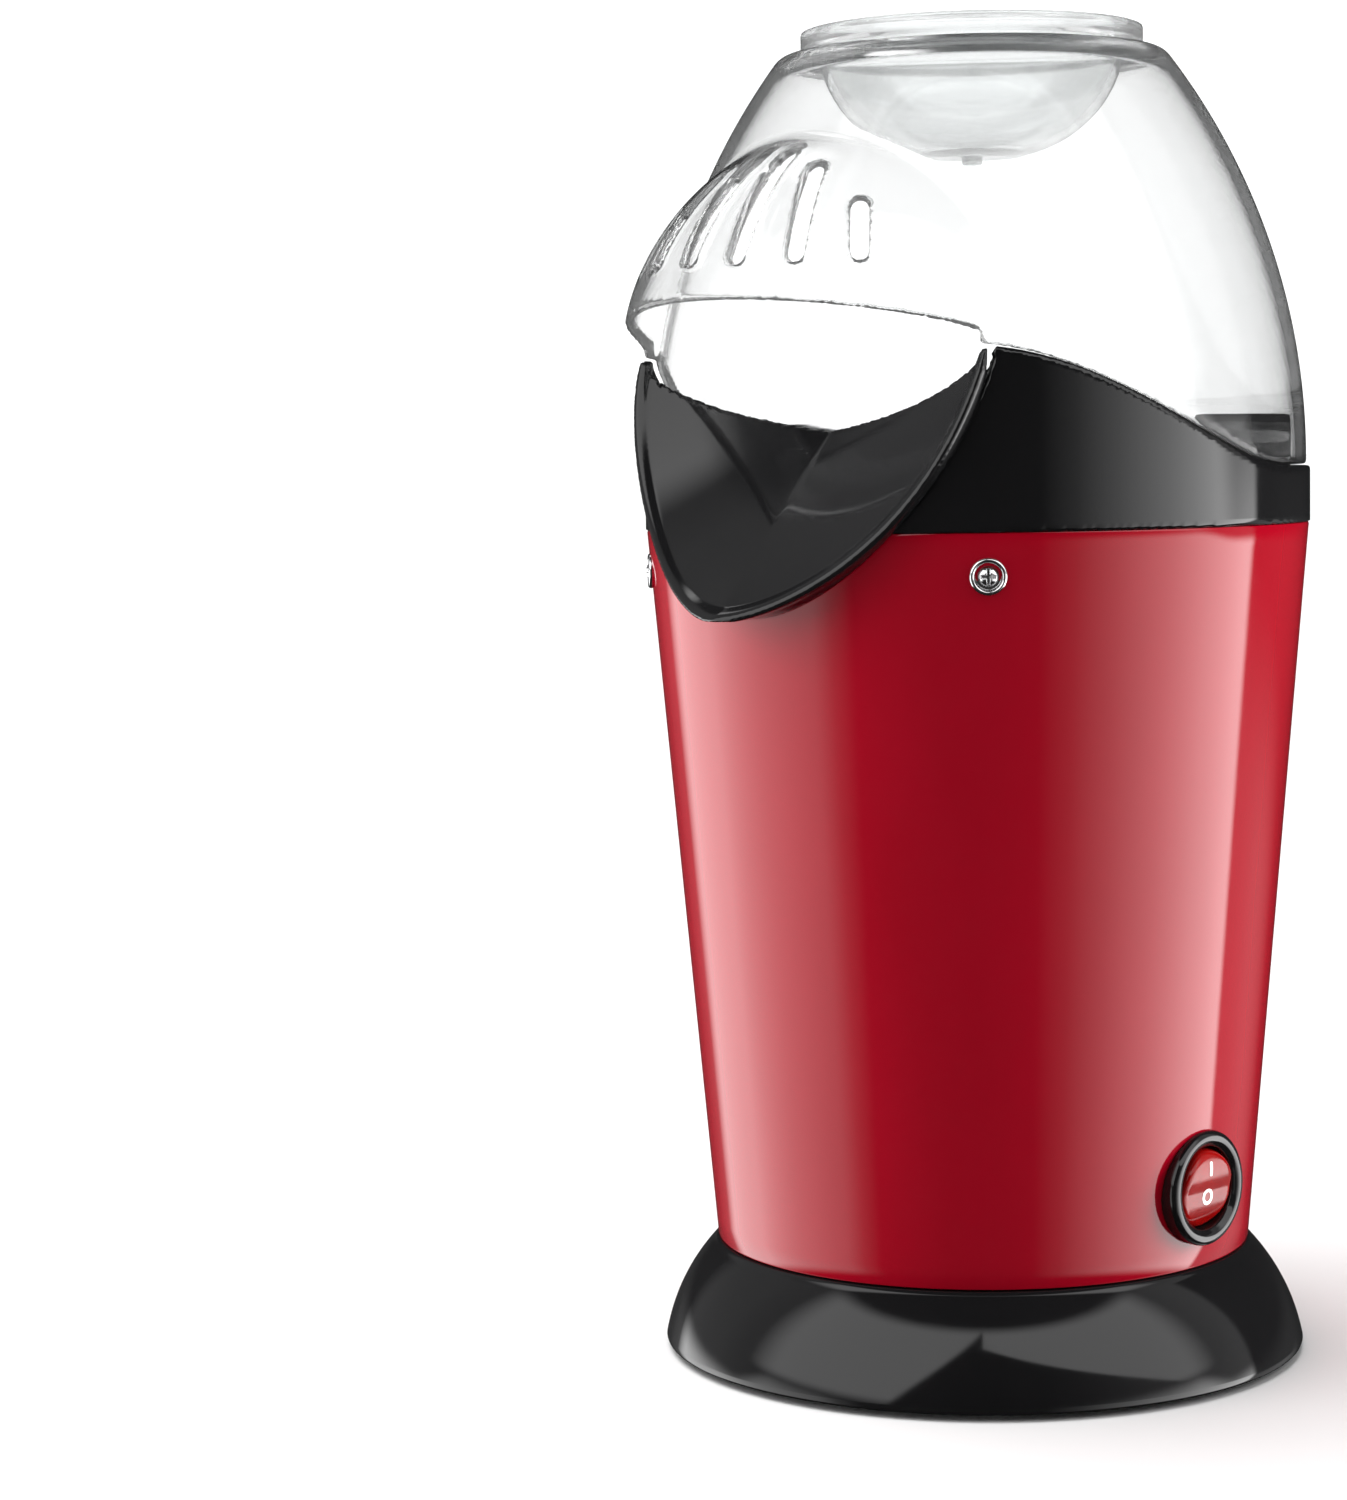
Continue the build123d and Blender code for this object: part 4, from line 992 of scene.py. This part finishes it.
class WorldNodes:
    """Small helper for the studio's world nodes, whose angles are in degrees."""

    def __init__(self, tree):
        self.tree = tree

    def new(self, kind, **inputs):
        """Node with its inputs set or driven by name, with _ for a space."""
        node = self.tree.nodes.new(kind)
        for key, value in inputs.items():
            self.put(node.inputs[key.replace("_", " ")], value)
        return node

    def put(self, socket, value):
        """Drives an input by a socket, or sets it to a plain value."""
        if isinstance(value, bpy.types.NodeSocket):
            self.tree.links.new(value, socket)
        else:
            socket.default_value = value

    def math(self, operation, first, second=0.0):
        """Result of one operation."""
        node = self.tree.nodes.new("ShaderNodeMath")
        node.operation = operation
        self.put(node.inputs[0], first)
        self.put(node.inputs[1], second)
        return node.outputs[0]

    def times(self, first, *others):
        """Product of all the values."""
        for other in others:
            first = self.math("MULTIPLY", first, other)
        return first

    def rise(self, value, low, high):
        """0 below low, 1 above high, smooth between."""
        node = self.tree.nodes.new("ShaderNodeMapRange")
        node.interpolation_type = "SMOOTHSTEP"
        for socket, item in zip(node.inputs, (value, low, high, 0.0, 1.0)):
            self.put(socket, item)
        return node.outputs[0]

    def fall(self, value, low, high):
        """1 below low, 0 above high, smooth between."""
        return self.math("SUBTRACT", 1.0, self.rise(value, low, high))


def softboxes(w, az, away, el):
    """The two upright panels, bright up to just above the horizon and faint over it."""
    ramp = w.new("ShaderNodeValToRGB", Fac=w.math("DIVIDE", w.math("ADD", az, 180.0), 360.0))
    stops = ramp.color_ramp
    while len(stops.elements) < len(PANELS):
        stops.elements.new(0.5)
    for stop, (place, level) in zip(stops.elements, PANELS):
        stop.position = (place + 180) / 360
        stop.color = (level / PANEL_PEAK,) * 3 + (1.0,)
    panels = w.times(ramp.outputs["Color"], PANEL_PEAK)
    lowered_behind = w.times(w.rise(away, 80.0, 100.0), 7.0)
    over = w.rise(w.math("ADD", el, lowered_behind), 2.0, 10.0)
    return w.times(panels, w.math("SUBTRACT", 1.0, w.times(over, 0.92)))


def overhead_arch(w, az, away, el):
    """Light over the softboxes, open in front by an angle that narrows as it rises."""
    above = w.math("SUBTRACT", el, 17.0)
    left = w.math("SUBTRACT", 25.0, w.times(above, 0.75))
    right = w.math("SUBTRACT", 55.0, w.times(above, 2.2))
    on_right = w.math("GREATER_THAN", az, 0.0)
    opening = w.math("ADD", left, w.times(on_right, w.math("SUBTRACT", right, left)))
    arch = w.rise(away, opening, w.math("ADD", opening, 4.0))
    return w.times(arch, w.rise(el, 6.0, 12.0), w.fall(away, 78.0, 98.0), 1.9)


def low_tail(w, away, el):
    """Dim light behind the softboxes, below the horizon."""
    return w.times(w.rise(away, 109.0, 112.0), w.fall(away, 126.0, 158.0), w.fall(el, -11.0, -5.0), 0.5)


def high_patch(w, az, away, el):
    """Small bright patch, high up behind the object on the left."""
    patch = w.times(w.rise(el, 46.0, 50.0), w.fall(el, 60.0, 68.0))
    return w.times(patch, w.rise(w.times(az, -1.0), 128.0, 136.0), w.fall(away, 155.0, 170.0), 1.7)


def studio_light(w):
    """Brightness of the studio by direction, from angles measured from the camera's direction."""
    direction = w.new("ShaderNodeMapping", Vector=w.new("ShaderNodeTexCoord").outputs["Generated"],
                      Rotation=(0, 0, -radians(CAMERA_AZ))).outputs[0]
    part = w.new("ShaderNodeSeparateXYZ", Vector=direction)
    az = w.math("DEGREES", w.math("ARCTAN2", part.outputs["X"], w.times(part.outputs["Y"], -1.0)))
    el = w.math("DEGREES", w.math("ARCSINE", part.outputs["Z"]))
    away = w.math("ABSOLUTE", az)
    panels = w.math("MAXIMUM", softboxes(w, az, away, el), overhead_arch(w, az, away, el))
    panels = w.math("MAXIMUM", panels, low_tail(w, away, el))
    window = w.times(w.rise(el, -36.0, -28.0), w.fall(el, 50.0, 57.0))
    return w.math("ADD", w.math("ADD", w.times(panels, window), high_patch(w, az, away, el)), 0.015)


def studio_world():
    """Two softboxes for reflections, and a white surround wherever the camera looks past the object."""
    world = bpy.data.worlds.new("studio")
    world.use_nodes = True
    world.node_tree.nodes.clear()
    w = WorldNodes(world.node_tree)
    white = (1, 1, 1, 1)
    studio = w.new("ShaderNodeBackground", Strength=studio_light(w), Color=white)
    surround = w.new("ShaderNodeBackground", Strength=1.28, Color=white)
    path = w.new("ShaderNodeLightPath")
    past = w.math("MAXIMUM", path.outputs["Is Camera Ray"], path.outputs["Is Transmission Ray"])
    past = w.times(past, w.math("LESS_THAN", path.outputs["Glossy Depth"], 0.5))
    mix = w.new("ShaderNodeMixShader")
    for socket, source in zip(mix.inputs, (past, studio.outputs[0], surround.outputs[0])):
        w.put(socket, source)
    w.new("ShaderNodeOutputWorld", Surface=mix.outputs[0])
    bpy.context.scene.world = world


# The fills brighten the object and leave the floor's soft shadow alone
lit_by_fills = bpy.data.collections.new("lit_by_fills")
for piece in bpy.context.scene.objects:
    if piece.type == "MESH" and piece != floor:
        lit_by_fills.objects.link(piece)

place_camera()
fill_light("front_fill", az=-5, height=0.55, distance=1.2, size=1.0, power=0.8)
fill_light("right_fill", az=92, height=0.45, distance=1.2, size=0.9, power=52.0)
fill_light("left_fill", az=-92, height=0.45, distance=1.2, size=0.9, power=42.0)
sky_light(strength=3.6)
studio_world()
bpy.context.scene.view_settings.view_transform = "Standard"

bpy.context.view_layer.update()
